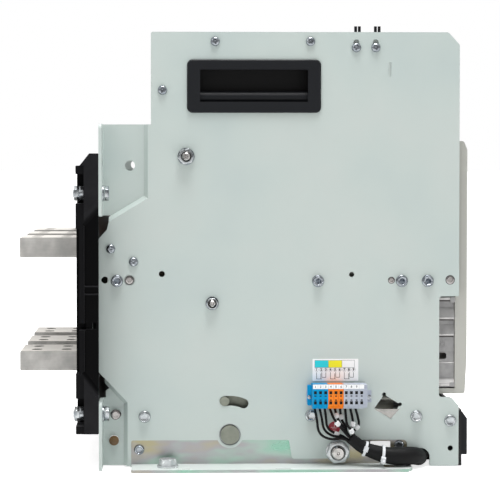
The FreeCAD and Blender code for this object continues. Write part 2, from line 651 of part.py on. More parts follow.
def racking_shaft():
    shaft = rod_x(-157.0, 157.0, SHAFT_Y, SHAFT_Z, SHAFT_R)
    tip = 140.0
    width = 13.0
    pts = [(SHAFT_Y - width - 2, SHAFT_Z), (SHAFT_Y - 11.5, SHAFT_Z + 108, 4),
           (SHAFT_Y - 11.5, SHAFT_Z + tip, 5),
           (SHAFT_Y + 11.5, SHAFT_Z + tip, 5), (SHAFT_Y + 11.5, SHAFT_Z + 108, 4),
           (SHAFT_Y + width + 2, SHAFT_Z)]
    arm = fuse([along_x(pts, -ARM_OUT, -ARM_IN), rod_x(-ARM_OUT, -ARM_IN, SHAFT_Y, SHAFT_Z, width + 3)])
    half = FORK_PIN_R + FORK_SLACK
    fork = [(SHAFT_Y - half, SHAFT_Z + tip + 5), (SHAFT_Y - half, SHAFT_Z + 120.5, half - 0.01),
            (SHAFT_Y + half, SHAFT_Z + 120.5, half - 0.01), (SHAFT_Y + half, SHAFT_Z + tip + 5)]
    arm = arm.cut(along_x(fork, -ARM_OUT - 1, -ARM_IN + 1))
    # sector that closes the arc slot of the plate from inside
    low = [(SHAFT_Y, SHAFT_Z), (SHAFT_Y - 60, SHAFT_Z + 28), (SHAFT_Y - 60, SHAFT_Z - 60),
           (SHAFT_Y + 60, SHAFT_Z - 60), (SHAFT_Y + 60, SHAFT_Z + 28)]
    sector = rod_x(-ARM_OUT, -ARM_IN, SHAFT_Y, SHAFT_Z, SECTOR_R).cut(along_x(low, -ARM_OUT - 1,
                                                                              -ARM_IN + 1))
    arm = fuse([arm, sector])
    a = math.radians(90 - STOP_ANGLE + ARM_SWING)
    stop = rod_x(-156.5, -ARM_IN, SHAFT_Y + SLOT_R * math.cos(a), SHAFT_Z + SLOT_R * math.sin(a),
                 STOP_PIN_R)
    arm = turned(fuse([arm, stop]), 0, SHAFT_Y, SHAFT_Z, V(1, 0, 0), -ARM_SWING)
    drop = SHAFT_Z - SCREW_Z
    cheek_pts = [(SHAFT_Y - 14, SHAFT_Z + 4, 3), (SHAFT_Y - 8.0, SHAFT_Z - drop - 7.5, 2),
                 (SHAFT_Y + 8.0, SHAFT_Z - drop - 7.5, 2), (SHAFT_Y + 14, SHAFT_Z + 4, 3),
                 (SHAFT_Y, SHAFT_Z + 15, 8)]
    cheek = along_x(cheek_pts, 14.0, 19.0)
    half = 3.5 + GAP
    slot = [(SHAFT_Y - half, SHAFT_Z - drop - 10), (SHAFT_Y - half, SCREW_Z + half + 1.2, half - 0.01),
            (SHAFT_Y + half, SCREW_Z + half + 1.2, half - 0.01), (SHAFT_Y + half, SHAFT_Z - drop - 10)]
    cheek = cheek.cut(along_x(slot, 10, 25))
    cheek = turned(cheek, 0, SHAFT_Y, SHAFT_Z, V(1, 0, 0), -ARM_SWING)
    return fuse([shaft, arm, other(arm), cheek, other(cheek)])


def racking_nut():
    y = SHAFT_Y - (SHAFT_Z - SCREW_Z) * math.tan(math.radians(ARM_SWING))
    body = soft_block(-12.0, 12.0, y - 11.0, y + 11.0, SCREW_Z - 8.0, SCREW_Z + 8.0, 2.0)
    body = fuse([body, rod_x(-20.0, 20.0, y, SCREW_Z, 3.5)])
    return body.cut(rod_y(y - 20, y + 20, 0, SCREW_Z, SCREW_R + RUN))


def racking_screw():
    shape = rod_y(-176.0, 84.0, 0, SCREW_Z, SCREW_R)
    collar = [rod_y(-166.0, -161.0, 0, SCREW_Z, 8.5), rod_y(86.0 - 12.0 - 6.0, 74.0 - GAP, 0, SCREW_Z, 8.5)]
    socket = along_y([(-3.2, SCREW_Z - 3.2), (3.2, SCREW_Z - 3.2), (3.2, SCREW_Z + 3.2),
                      (-3.2, SCREW_Z + 3.2)], -180, -168)
    return fuse([shape] + collar).cut(socket)


def screw_bearings():
    rear = along_y([(-20, 2.5), (20, 2.5), (14, 22.5, 3), (-14, 22.5, 3)], 74.0, 84.0)
    front = along_y([(-24, 3.3), (24, 3.3), (14, 25.0, 3), (-14, 25.0, 3)], -161.0 + GAP, -151.0)
    found = []
    for shape in (rear, front):
        found.append(shape.cut(rod_y(-200, 100, 0, SCREW_Z, SCREW_R + RUN)))
    return found


def front_panel():
    panel = face_block(-PLATE_OUT, PLATE_OUT, -185.0, -182.3, 0.5, 57.0, 2.0)
    tab = along_x([(-182.3, 22.0), (-182.3, 57.0), (-131.0, 57.0, 4), (-131.0, 42.0, 4), (-160.0, 22.0, 4)],
                  -PLATE_IN, -PLATE_IN + 2.5)
    shelf = block(-PLATE_IN, PLATE_IN, -182.3, -148.0, GAP, GAP + 3.0)
    shelf = shelf.cut(block(-PLATE_IN - 1, -118.0, -160.0, -120.0, -1, 5)).cut(block(118.0, PLATE_IN + 1,
                                                                                     -160.0, -120.0, -1, 5))
    shape = fuse([panel, tab, other(tab), shelf])
    tools = []
    for s in (-1, 1):
        for y, z in FRONT_BOLTS:
            tools.append(rod_x(s * 160, s * 140, y, z, 4.3))
    tools.append(rod_y(-190, -175, 0, SCREW_Z, 8.8))
    tools.append(face_block(-74.0, -46.0, -190, -180, 26.0, 42.0, 2.0))
    tools.append(rod_y(-190, -180, -98.0, 34.0, 6.4))
    tools.append(rod_y(-190, -180, CRANK_X, CRANK_Z, CRANK_R + 0.5))
    return cut(shape, tools)


def racking_module():
    pts = [(-185.0, 56.5, 1), (COVER_FRONT, 47.5, 1), (COVER_FRONT, 11.0, 1), (-185.0, 11.0)]
    shape = along_x(pts, -150.0, 150.0)
    tools = [rod_y(-200, -180, 0, SCREW_Z, 8.8)]
    tools.append(face_block(-72.0, -48.0, -200, -180, 28.0, 40.0, 1.5))
    tools.append(rod_y(-200, -180, -98.0, 34.0, 6.4))
    tools.append(face_block(CRANK_X - 11, CRANK_X + 11, -200, -180, CRANK_Z - 12, CRANK_Z + 12, 3.0))
    return cut(shape, tools)


def indicator():
    # flag behind the window; it travels 12 mm upwards while the breaker is racked out
    flag = block(-72.0, -48.0, -181.6, -179.6, 16.0, 41.0)
    stem = block(-62.0, -58.0, -179.6, -176.0, 16.0, 24.0)
    return fuse([flag, stem])


def release_button():
    return fuse([rod_y(-193.0 + 3.0, -176.0, -98.0, 34.0, 6.0), rod_y(-176.0, -173.0, -98.0, 34.0, 8.5)])


def crank_handle():
    rod = rod_y(-186.0, -10.0, CRANK_X, CRANK_Z, CRANK_R)
    knob = face_block(CRANK_X - 9.0, CRANK_X + 9.0, -190.5, -185.4, CRANK_Z - 10.0, CRANK_Z + 10.0, 3.0)
    square = block(CRANK_X - 3.2, CRANK_X + 3.2, -10.0, 4.0, CRANK_Z - 3.2, CRANK_Z + 3.2)
    return fuse([rod, knob, square])


def top_plate():
    t = 2.0
    sheet = along_z([(-PLATE_IN, 72), (PLATE_IN, 72), (PLATE_IN, -42), (-PLATE_IN, -42)], 431.0, 431.0 + t)
    lip = along_x([(72, 414, 3), (72, 431), (-42, 431), (-42, 414, 3)], -PLATE_IN, -PLATE_IN + t)
    tools = []
    for y, z in PAN_SCREWS[:2]:
        tools.append(rod_x(-160, -140, y, z, 2.7))
        tools.append(rod_x(140, 160, y, z, 2.7))
    return cut(fuse([sheet, lip, other(lip)]), tools)


def rear_tie():
    # angle across the back at the small screw high on the plate, and cross rod on the big nuts
    t = 2.5
    web = along_z([(-PLATE_IN, 122), (PLATE_IN, 122), (PLATE_IN, 122 - t), (-PLATE_IN, 122 - t)], 360.0,
                  395.0)
    lip = along_x([(122, 362), (122, 393), (104, 393, 4), (104, 362, 4)], -PLATE_IN, -PLATE_IN + t)
    tools = [rod_x(-160, -140, PAN_SCREWS[2][0], PAN_SCREWS[2][1], 2.7),
             rod_x(140, 160, PAN_SCREWS[2][0], PAN_SCREWS[2][1], 2.7)]
    return cut(fuse([web, lip, other(lip)]), tools)


def cross_rods():
    # studs through the plates with spacer tubes inside, held by the nuts seen on the plates
    found = []
    y, z = BIG_NUT
    stud = rod_x(-165.5, -146.0, y, z, 5.0)
    boss = rod_x(-PLATE_IN, -143.0, y, z, 9.0).cut(rod_x(-160, -140, y, z, 5.0))
    found.append(fuse([stud, boss]))
    y, z = SMALL_NUT
    stud = rod_x(-163.0, -PLATE_IN, y, z, 4.0)
    foot = rod_x(-PLATE_IN, -PLATE_IN + 1.4, y, z, 5.5)
    found.append(fuse([stud, foot]))
    return both(found)


def plate_nuts():
    y, z = BIG_NUT
    washer = rod_x(-PLATE_OUT - 1.8, -PLATE_OUT, y, z, 8.5).cut(rod_x(-170, -150, y, z, 5.2))
    nut = hexagon(14.5, 0, 6.5, -PLATE_OUT - 1.8, y, z, V(-1, 0, 0), 12).cut(rod_x(-170, -150, y, z, 5.05))
    y, z = SMALL_NUT
    flange = rod_x(-PLATE_OUT - 1.2, -PLATE_OUT, y, z, 6.6)
    small = fuse([flange, hexagon(10.5, 0, 5.8, -PLATE_OUT - 1.0, y, z, V(-1, 0, 0), 5)])
    small = small.cut(rod_x(-170, -150, y, z, 4.05))
    return both([washer, nut, small])


def flange_bolt(y, z, end, spin):
    out = -PLATE_OUT
    skirt = lathe([(0, 0), (6.3, 0), (6.3, 0.7), (5.2, 1.6), (0, 1.6)], out, y, z, V(-1, 0, 0))
    head = hexagon(8.6, 1.0, 5.4, out, y, z, V(-1, 0, 0), spin)
    shank = rod_x(out, end, y, z, 4.0)
    return fuse([skirt, head, shank])


def side_bolts():
    found = []
    spin = 0
    for y, z in GUIDE_BOLTS:
        found.append(flange_bolt(y, z, -GUIDE_WEB - 0.1, spin))
        spin += 23
    for y, z in BASE_BOLTS:
        found.append(flange_bolt(y, z, -145.5, spin))
        spin += 23
    for y, z in FRONT_BOLTS:
        found.append(flange_bolt(y, z, -148.5, spin))
        spin += 23
    return both(found)


def pan_screw(y, z, out, end):
    head = lathe([(0, 0), (4.7, 0), (4.7, 0.9), (4.2, 2.2), (2.9, 3.2), (0, 3.4)], out, y, z, V(-1, 0, 0))
    cross = fuse([block(out - 4, out - 1.6, y - 2.2, y + 2.2, z - 0.45, z + 0.45),
                  block(out - 4, out - 1.6, y - 0.45, y + 0.45, z - 2.2, z + 2.2)])
    cross = turned(cross, out, y, z, V(1, 0, 0), 7.0 * (y % 11))
    return fuse([head.cut(cross), rod_x(out, end, y, z, 2.5)])


def pan_screws():
    found = []
    for y, z in PAN_SCREWS + SLOT_SCREWS:
        found.append(pan_screw(y, z, -PLATE_OUT, -149.0))
    for y, z in PAN_SCREWS[3:]:
        found.append(hexagon(8.0, 0, 3.4, -PLATE_IN, y, z, V(1, 0, 0)).cut(rod_x(-160, -140, y, z, 2.5)))
    return both(found)


def leaf_screws():
    found = []
    for y, z in LEAF_SCREWS:
        head = lathe([(0, 0), (5.4, 0), (5.4, 0.8), (4.4, 1.6), (4.4, 3.6), (0, 3.6)], -PLATE_IN, y, z,
                     V(-1, 0, 0))
        found.append(fuse([head, rod_x(-PLATE_IN, -145.0, y, z, 3.0)]))
    return both(found)


def flange_bolts():
    found = []
    for z in FLANGE_BOLT_Z:
        x = -FLANGE_BOLT_X
        washer = rod_y(FLANGE_Y - SHEET - 1.2, FLANGE_Y - SHEET, x, z, 8.0).cut(rod_y(160, 180, x, z, 4.5))
        head = hexagon(13.0, 0, 5.4, x, FLANGE_Y - SHEET - 1.2, z, V(0, -1, 0), 30)
        shank = rod_y(FLANGE_Y - SHEET - 1.2, 203.5, x, z, 4.4)
        found += [washer, fuse([head, shank])]
    return both(found)


def flange_nuts():
    found = []
    for z in FLANGE_BOLT_Z:
        x = -FLANGE_BOLT_X
        washer = rod_y(STEP_Y, STEP_Y + 1.6, x, z, 9.5).cut(rod_y(180, 210, x, z, 4.5))
        spring = rod_y(STEP_Y + 1.6, STEP_Y + 3.4, x, z, 7.4).cut(rod_y(180, 210, x, z, 4.5))
        nut = hexagon(13.0, 0, 5.2, x, STEP_Y + 3.4, z, V(0, 1, 0), 30).cut(rod_y(180, 210, x, z, 4.45))
        found += [washer, spring, nut]
    return both(found)


def foot_bolts():
    x, y = -170.0, 110.0
    washer = rod_z(SHEET, SHEET + 2.0, x, y, 10.5).cut(rod_z(0, 10, x, y, 5.3))
    head = hexagon(15.5, 0, 6.4, x, y, SHEET + 2.0, V(0, 0, 1), 18)
    shank = rod_z(0.2, SHEET + 2.0, x, y, 5.0)
    return both([washer, fuse([head, shank])])


def earth_bolt():
    y, z = EARTH
    out = -PLATE_OUT
    washer = lathe([(6.4, 0), (11.9, 0), (11.9, 2.2), (6.4, 2.2)], out, y, z, V(-1, 0, 0))
    lock = lathe([(6.4, 2.2), (9.6, 2.2), (9.6, 4.6), (6.4, 4.6)], out, y, z, V(-1, 0, 0))
    nut = hexagon(18.0, 4.6, 13.0, out, y, z, V(-1, 0, 0), 8).cut(rod_x(-180, -150, y, z, 6.1))
    stud = fuse([rod_x(out - 18.0, -144.0, y, z, 6.0), hexagon(18.0, 0, 5.0, -146.7, y, z, V(1, 0, 0), 0)])
    return [washer, lock, nut], [stud]


def handle_cup():
    y0, y1 = CUP_Y
    z0, z1 = CUP_Z
    out = -PLATE_OUT
    rim = plate_block(out - 2.6, out, y0, y1, z0, z1, 5.5)
    outer = [e for e in rim.Edges if abs(e.BoundBox.XMin - (out - 2.6)) < 0.01 and e.BoundBox.XLength < 0.01]
    rim = rim.makeChamfer(1.0, outer)
    well = plate_block(out, -131.0, y0 + 7.5, y1 - 7.5, z0 + 6.5, z1 - 6.5, 4.0)
    shape = fuse([rim, well])
    hollow = along_x([(77.5, 365.5), (77.5, 397.5, 0.8), (-30.0, 397.5, 0.8), (-30.0, 365.5)], out - 5,
                     out + 2.0)
    deep = along_x([(80.5, 363.5, 4), (80.5, 398.5, 4), (-33.0, 398.5, 4), (-33.0, 363.5, 4)], out + 2.0,
                   -133.0)
    shape = cut(shape, [hollow, deep])
    # grip: a rolled bar along the lower edge of the opening
    roll = rod_y(-33.0, 80.5, out + 8.5, 370.0, 6.5)
    under = block(out + 4.0, out + 13.0, -33.0, 80.5, 363.0, 370.0)
    return fuse([shape, roll, under])


def secondary_sockets():
    # cassette half of the control wiring connector, carried under the top edge by a bracket
    bracket = block(-PLATE_IN, PLATE_IN, -110.0, -66.0, 404.0, 406.0)
    lip = block(-PLATE_IN, -PLATE_IN + 2.0, -110.0, -66.0, 406.0, 428.0)
    plate = fuse([bracket, lip, other(lip)])
    tools = []
    for y, z in SLOT_SCREWS:
        tools.append(rod_x(-160, -140, y, z, 2.7))
        tools.append(rod_x(140, 160, y, z, 2.7))
    return cut(plate, tools)


def socket_body():
    shape = along_x([(-108, 406), (-108, 436, 1), (-80, 436, 1), (-80, 428), (-52, 428), (-52, 433, 1),
                     (-46, 433, 1),
                     (-46, 412), (-66, 406)], -122.0, 122.0)
    pegs = []
    for i in range(8):
        pegs.append(block(-104.0 + i * 27.0, -86.0 + i * 27.0, -106.0, -101.0, 388.5, 404.0))
    for y in (-81.6, -85.4, -101.8, -105.6):
        pegs.append(rod_z(436.0, 443.5, -118.0, y, 1.5))
    return fuse([shape] + pegs)


# breaker

def body_plates():
    pts = [(HOUSING_REAR, HOUSING_LOW, 4), (HOUSING_REAR, 340.0, 8), (-120.0, 340.0, 10),
           (-139.7, 322.0, 4),
           (-139.7, 84.0, 4), (-130.0, HOUSING_LOW, 4)]
    sheet = along_x(pts, -BODY_OUT, -BODY_OUT + BODY_SHEET)
    tools = [rod_x(-140, -130, CONTACT_Y, CONTACT_Z, CONTACT_R + 3)]
    sheet = cut(sheet, tools)
    pins = []
    for y in (-118.0, 20.0):
        pins.append(rod_x(-INNER_WEB, -BODY_OUT, y, RAIL_Z, 5.0))
    return both([fuse([sheet] + pins)])


def pole_housing():
    shell = block(-HOUSING_X, HOUSING_X, HOUSING_FRONT, HOUSING_REAR, HOUSING_LOW, HOUSING_TOP)
    tools = []
    for x0, x1 in ((-HOUSING_X + WALL, -47.5 - WALL / 2), (-47.5 + WALL / 2, 47.5 - WALL / 2),
                   (47.5 + WALL / 2, HOUSING_X - WALL)):
        tools.append(block(x0, x1, HOUSING_FRONT + WALL, HOUSING_REAR - 8.0, HOUSING_LOW + 6,
                           HOUSING_TOP + 1))
    for x in POLES:
        for z in (UPPER_Z, LOWER_Z):
            tools.append(block(x - TONGUE_WIDE / 2, x + TONGUE_WIDE / 2, 70.0, 95.0, z - PLUG_THICK / 2,
                               z + PLUG_THICK / 2))
    tools.append(rod_x(-140, 140, CONTACT_Y, CONTACT_Z, CONTACT_R + RUN))
    shape = cut(shell, tools)
    ribs = []
    for x in (-47.5, 47.5):
        ribs.append(block(x - 1.5, x + 1.5, HOUSING_REAR, 91.5, 84.0, 296.0))
    return fuse([shape] + ribs)


def plug_bar(x, z, front):
    pts = [(front, z - PLUG_THICK / 2), (PLUG_TIP - 4, z - PLUG_THICK / 2), (PLUG_TIP, z - 2.4),
           (PLUG_TIP, z + 2.4),
           (PLUG_TIP - 4, z + PLUG_THICK / 2), (front, z + PLUG_THICK / 2)]
    return along_x(pts, x - TONGUE_WIDE / 2, x + TONGUE_WIDE / 2)


def fixed_contacts():
    found = []
    for x in POLES:
        bar = plug_bar(x, UPPER_Z, 44.0)
        pad = block(x - 22, x + 22, 38.0, 44.0, UPPER_Z - 20.0, UPPER_Z + PLUG_THICK / 2)
        drop = block(x - 24, x + 24, 44.0, 52.0, UPPER_Z - 22.0, UPPER_Z - PLUG_THICK / 2)
        found.append(fuse([bar, pad, drop]))
    return found


def lower_bars():
    found = []
    for x in POLES:
        bar = plug_bar(x, LOWER_Z, 8.0)
        lug = block(x - 20, x + 20, 8.0, 16.0, LOWER_Z - PLUG_THICK / 2, LOWER_Z + 9.0)
        found.append(fuse([bar, lug]))
    return found


def transformers():
    found = []
    for x in POLES:
        ring = face_block(x - CHUTE_HALF, x + CHUTE_HALF, 52.0, 76.0, LOWER_Z - 18, LOWER_Z + 22, 5)
        hole = block(x - TONGUE_WIDE / 2 - 1, x + TONGUE_WIDE / 2 + 1, 40, 90, LOWER_Z - 7,
                     LOWER_Z + PLUG_THICK / 2)
        found.append(ring.cut(hole))
    return found


def contact_shaft():
    # shaft across the three poles with a contact arm in each, drawn in the open position
    shaft = rod_x(-HOUSING_X, HOUSING_X, CONTACT_Y, CONTACT_Z, CONTACT_R)
    pieces = [shaft]
    for x in POLES:
        pts = [(CONTACT_Y - 13, CONTACT_Z - 8, 4), (CONTACT_Y - 9, CONTACT_Z + 82, 4),
               (CONTACT_Y + 6, CONTACT_Z + 86, 3),
               (CONTACT_Y + 16, CONTACT_Z + 80, 2), (CONTACT_Y + 16, CONTACT_Z + 58, 3),
               (CONTACT_Y + 12, CONTACT_Z - 8, 4)]
        pieces.append(along_x(pts, x - 20, x + 20))
    lever = along_x([(CONTACT_Y - 22, CONTACT_Z + 4, 4), (CONTACT_Y, CONTACT_Z + 10),
                     (CONTACT_Y, CONTACT_Z - 10), (CONTACT_Y - 22, CONTACT_Z - 8, 4)],
                    -30.0, -24.0)
    return fuse(pieces + [lever])


def arc_chutes():
    found = []
    for x in POLES:
        x0, x1 = x - CHUTE_HALF, x + CHUTE_HALF
        box = soft_block(x0, x1, -30.0, 76.0, 252.0, 348.0, 4.0)
        rim = soft_block(x - 39.0, x + 39.0, -34.0, 82.0, HOUSING_TOP, HOUSING_TOP + 3.0, 4.0)
        box = fuse([box, rim])
        inner = block(x0 + 3, x1 - 3, -25.0, 71.0, 240.0, 344.0)
        vents = []
        for i in range(4):
            y = -16.0 + i * 22.0
            vents.append(face_vent(x0 + 10, x1 - 10, y))
        found.append(cut(box, [inner] + vents))
    return found


def face_vent(x0, x1, y):
    return soft_block(x0, x1, y, y + 12.0, 340.0, 352.0, 3.0)


def splitter_plates():
    found = []
    for x in POLES:
        for i in range(8):
            y = -20.0 + i * 11.5
            found.append(block(x - CHUTE_HALF + 3, x + CHUTE_HALF - 3, y, y + 1.6, 262.0, 338.0))
    return found


def mechanism_frame():
    # two cheeks between the die-cast frame and the pole housing, joined by spacers
    pts = [(HOUSING_FRONT, 92, 3), (HOUSING_FRONT, 300, 10), (-120, 300, 14), (-139.7, 270, 4),
           (-139.7, 92, 3)]
    found = [along_x(pts, -52.0, -49.0), along_x(pts, 49.0, 52.0)]
    spacers = []
    for y, z in ((-60, 108), (-125, 108), (-60, 286), (-112, 286), (-90, 200)):
        spacers.append(rod_x(-49, 49, y, z, 5.0))
    drive = [rod_x(-8.0, 4.0, -90.0, 240.0, 24.0), rod_x(-49, 49, -90.0, 240.0, 7.0)]
    seats = [block(16.0, 49.0, -134.0, -102.0, 106.0, 113.0), block(16.0, 49.0, -134.0, -102.0, 250.0,
                                                                    256.0)]
    return fuse(found + spacers + drive + seats)


def closing_spring():
    rings = []
    for i in range(9):
        rings.append(rod_z(116 + i * 15, 116 + i * 15 + 9, 32.0, -118.0, 13.0))
    core = rod_z(113, 250, 32.0, -118.0, 9.0)
    return fuse(rings + [core])


def charging_motor():
    can = rod_x(56.0, 118.0, -92.0, 150.0, 26.0)
    gear = plate_block(52.0, 56.0, -124.0, -60.0, 120.0, 212.0, 14.0)
    cap = rod_x(118.0, 124.0, -92.0, 150.0, 14.0)
    return fuse([can, gear, cap])


def release_coils():
    found = []
    for x in (-120.0, -92.0, -64.0):
        box = soft_block(x - 11, x + 11, -126.0, -92.0, 258.0, 310.0, 2.0)
        pin = rod_z(250.0, 258.0, x, -109.0, 3.0)
        found.append(fuse([box, pin]))
    return found


def coil_tray():
    return fuse([block(-BODY_OUT + BODY_SHEET, -52.0, -130.0, -88.0, 310.0, 312.5),
                 block(-134.5, -132.0, -130.0, -88.0, 250.0, 310.0)])


def front_frame():
    # die-cast frame, seen edge-on through the notch of the plate
    front = COVER_BACK + GAP
    cheek = along_x([(front, 78.0, 1), (front, 330.0, 2), (-139.8, 330.0, 6), (-139.8, 84.0, 4),
                     (-150.0, 78.0, 3)],
                    -141.3, -BODY_OUT)
    ledges = [
        (-140, 79.0), (-145.7, 79.0), (-145.7, 82.0, 0.8), (-142.9, 87.0, 6), (-142.9, 102.7),
        (-142.3, 103.1),
        (-142.3, 113.9), (-143.2, 114.1), (-143.2, 130.0), (-144.9, 130.2), (-144.9, 132.2, 0.8),
        (-142.6, 141.5, 6),
        (-142.6, 147.0), (-145.7, 147.0), (-145.7, 149.2, 0.8), (-142.4, 158.0, 8), (-142.4, 166.2),
        (-145.7, 166.2, 0.5), (-145.7, 169.3, 0.5), (-140, 169.3),
    ]
    shelf = along_y(ledges, front, -158.0)
    ring = rod_x(-143.8, -143.0, -168.0, 122.1, 2.6).cut(rod_x(-144, -143.2, -168.0, 122.1, 1.9))
    window = along_x([(-171.6, 106.4, 2.5), (-171.6, 113.0, 2.5), (-150.0, 113.0), (-150.0, 106.4)], -150,
                     -130)
    lugs = [block(-147.2, -145.0, front, front + 4.5, 79.0, 83.5),
            block(-147.2, -145.0, front, front + 4.5, 164.0, 169.3)]
    cheek = fuse([cheek, shelf, ring] + lugs).cut(window)
    top = block(-BODY_OUT, BODY_OUT, front, -150.0, 316.0, 330.0)
    low = block(-BODY_OUT, BODY_OUT, front, -150.0, 78.0, 90.0)
    pads = []
    for x in (-128.0, 0.0, 128.0):
        for z in (84.0, 321.0):
            pads.append(rod_y(COVER_BACK, front + 0.5, x, z, 5.0))
    return fuse([cheek, other(cheek), top, low] + pads)


def front_cover():
    outer = along_x([(COVER_BACK, COVER_LOW, 1), (COVER_BACK, COVER_TOP, 1), (-188.0, COVER_TOP, 3),
                     (COVER_FRONT, 318.0, 4), (COVER_FRONT, 108.0, 20),
                     (COVER_FRONT + 1.8, COVER_LOW, 2.5)],
                    -COVER_X, COVER_X)
    inner = along_x([(-170.0, 75.0), (-170.0, 323.0), (-186.0, 323.0), (-188.8, 317.0), (-188.8, 108.0),
                     (-187.0, 75.0)], -COVER_X + 3, COVER_X - 3)
    back = along_y([(-COVER_X + 3, 75.0), (COVER_X - 3, 75.0), (COVER_X - 3, 323.0),
                    (-COVER_X + 3, 323.0)], COVER_BACK - 2.0, COVER_BACK)
    # return of the lower edge under the die-cast frame
    sill = block(-COVER_X, COVER_X, COVER_BACK - 1, -161.0, COVER_LOW, COVER_LOW + 2.6)
    heel = block(-COVER_X, -COVER_X + 4.0, COVER_BACK - 1, -161.0, COVER_LOW, COVER_LOW + 5.4)
    shape = fuse([outer.cut(inner), back, sill, heel, other(heel)])
    tools = [
        face_block(-126.0 - GAP, -34.0 + GAP, -200, -170, 118.0 - GAP, 252.0 + GAP, 3.0 + GAP),
        face_block(-8.0, 30.0, -200, -170, 96.0, 244.0, 3.0),
        rod_y(-200, -170, 64.0, 232.0, 9.5),
        rod_y(-200, -170, 64.0, 204.0, 9.5),
        rod_y(-200, -187.0, -106.0, 280.0, 5.0),
        face_block(FLAG_X, FLAG_X + FLAG_SHIFT, -200, -187.0, 166.0, 180.0, 1.5),
        face_block(FLAG_X, FLAG_X + FLAG_SHIFT, -200, -187.0, 142.0, 156.0, 1.5),
    ]
    lugs = [block(-14.0, -8.3, -188.8, COVER_BACK - 2.0, 224.0, 236.0),
            block(30.3, 36.0, -188.8, COVER_BACK - 2.0, 224.0, 236.0)]
    return cut(fuse([cut(shape, tools)] + lugs), [rod_x(-13.0, 35.0, -186.0, 230.0, 3.0 + RUN)])


def controller():
    body = face_block(-126.0, -34.0, -190.6, -177.2, 118.0, 252.0, 3.0)
    screen = face_block(-116.0, -60.0, -193.0, -189.8, 200.0, 240.0, 2.0)
    keys = []
    for i in range(4):
        keys.append(rod_y(-193.0, -189.8, -112.0 + i * 16.0, 184.0, 4.2))
    lamps = []
    for i in range(5):
        lamps.append(rod_y(-193.0, -190.0, -112.0 + i * 13.0, 166.0, 1.8))
    return cut(body, [screen] + keys + lamps)


def controller_keys():
    found = []
    for i in range(4):
        found.append(rod_y(-190.4, -189.8, -112.0 + i * 16.0, 184.0, 3.9))
    return found


def push_button(x, z):
    return fuse([rod_y(-190.5, -184.5, x, z, 9.0), rod_y(-186.5, -185.3, x, z, 10.8)])


def reset_button():
    return fuse([rod_y(-191.0, -184.5, -106.0, 280.0, 4.6), rod_y(-186.0, -184.5, -106.0, 280.0, 6.4)])


def charging_handle():
    # lever flush in its slot, hinged near the slot's upper end
    grip = along_x([(-190.8, 100.0, 3), (-190.8, 236.0, 4), (-182.5, 236.0, 4), (-182.5, 128.0, 3),
                    (-185.5, 118.0, 3),
                    (-185.5, 100.0, 2)], -4.0, 26.0)
    pin = rod_x(-12.0, 34.0, -186.0, 230.0, 3.0)
    return fuse([grip, pin])


def flag(z):
    # strip with two fields that slides behind its window, with a driving ear
    x0, x1 = FLAG_X - 1.0, FLAG_X + 2 * FLAG_SHIFT + 1.0
    strip = block(x0, x1, -188.8 + GAP, -187.3, z - 9.0, z + 9.0)
    return fuse([strip, block(x1 - 8.0, x1 - 4.0, -187.3, -183.6, z - 3.0, z + 3.0)])


def secondary_plug():
    body = along_x([(-130.0, 342.0), (-130.0, 388.0, 2), (-64.0, 388.0, 2), (-64.0, 366.0, 2),
                    (-84.0, 342.0)], -112.0, 112.0)
    legs = []
    for x in (-100.0, 94.0):
        legs.append(block(x, x + 6.0, -128.0, -90.0, 330.0, 342.0))
    shape = fuse([body] + legs)
    slots = []
    for i in range(8):
        slots.append(block(-105.0 + i * 27.0, -85.0 + i * 27.0, -112.0, -96.0, 384.0, 390.0))
    return cut(shape, slots)


def plug_deck():
    return block(-BODY_OUT + BODY_SHEET, BODY_OUT - BODY_SHEET, -139.0, -60.0, 327.5, 330.0)


# wiring group on the left plate

BLOCK_BACK = -PLATE_OUT - 2.0
BLOCK_FACE = -179.5
BLOCK_PITCH = 5.1
BLOCK_FIRST = -35.9
BLOCK_Z = (61.0, 86.6)
EAR = 4.0
BLOCK_HOLES = (77.6, 67.6)
BLOCK_SLOTS = (74.3, 70.3)


def block_profile(inset):
    z0, z1 = BLOCK_Z
    face = BLOCK_FACE + inset
    return [(BLOCK_BACK, z0 + 2), (face + 6.0, z0 + inset / 2), (face, z0 + 4.5, 0.6),
            (face, z1 - 5.5, 0.4),
            (face + 1.6, z1 - 5.5), (face + 1.6, z1 - 0.5 - inset), (BLOCK_BACK, z1 - 2)]


def slab_y(points, y0, y1):
    return prism(points, lambda u, v: V(u, y0, v), V(0, y1 - y0, 0))


def terminal_block(i):
    mid = BLOCK_FIRST - i * BLOCK_PITCH
    shape = slab_y(block_profile(0.0), mid - BLOCK_PITCH / 2 + 0.1, mid + BLOCK_PITCH / 2 - 0.1)
    tools = []
    for z in BLOCK_HOLES:
        tools.append(block(BLOCK_FACE - 1, BLOCK_FACE + 4, mid - 1.45, mid + 1.45, z - 1.6, z + 1.6))
    for z in BLOCK_SLOTS:
        tools.append(block(BLOCK_FACE - 1, BLOCK_FACE + 3, mid - 1.0, mid + 1.0, z - 0.6, z + 0.6))
    return cut(shape, tools)


def block_end(y0, y1):
    return slab_y(block_profile(1.2), y0, y1)


EAR_SCREW_Y = -31.4
EAR_SCREW_Z = 71.2
EAR_SCREW_R = 1.5


def block_rail():
    # short steel rail behind the blocks with an ear and screw at each end
    y0, y1 = -94.0, -28.6
    rail = block(BLOCK_BACK, -PLATE_OUT, y0, y1, 65.0, 77.0)
    heads = [rod_x(BLOCK_BACK - 1.8, BLOCK_BACK, y0 + 2.7, 70.5, 2.3)]
    heads.append(rod_x(BLOCK_BACK - EAR - 1.6, BLOCK_BACK, EAR_SCREW_Y, EAR_SCREW_Z, EAR_SCREW_R))
    return fuse([rail] + heads)


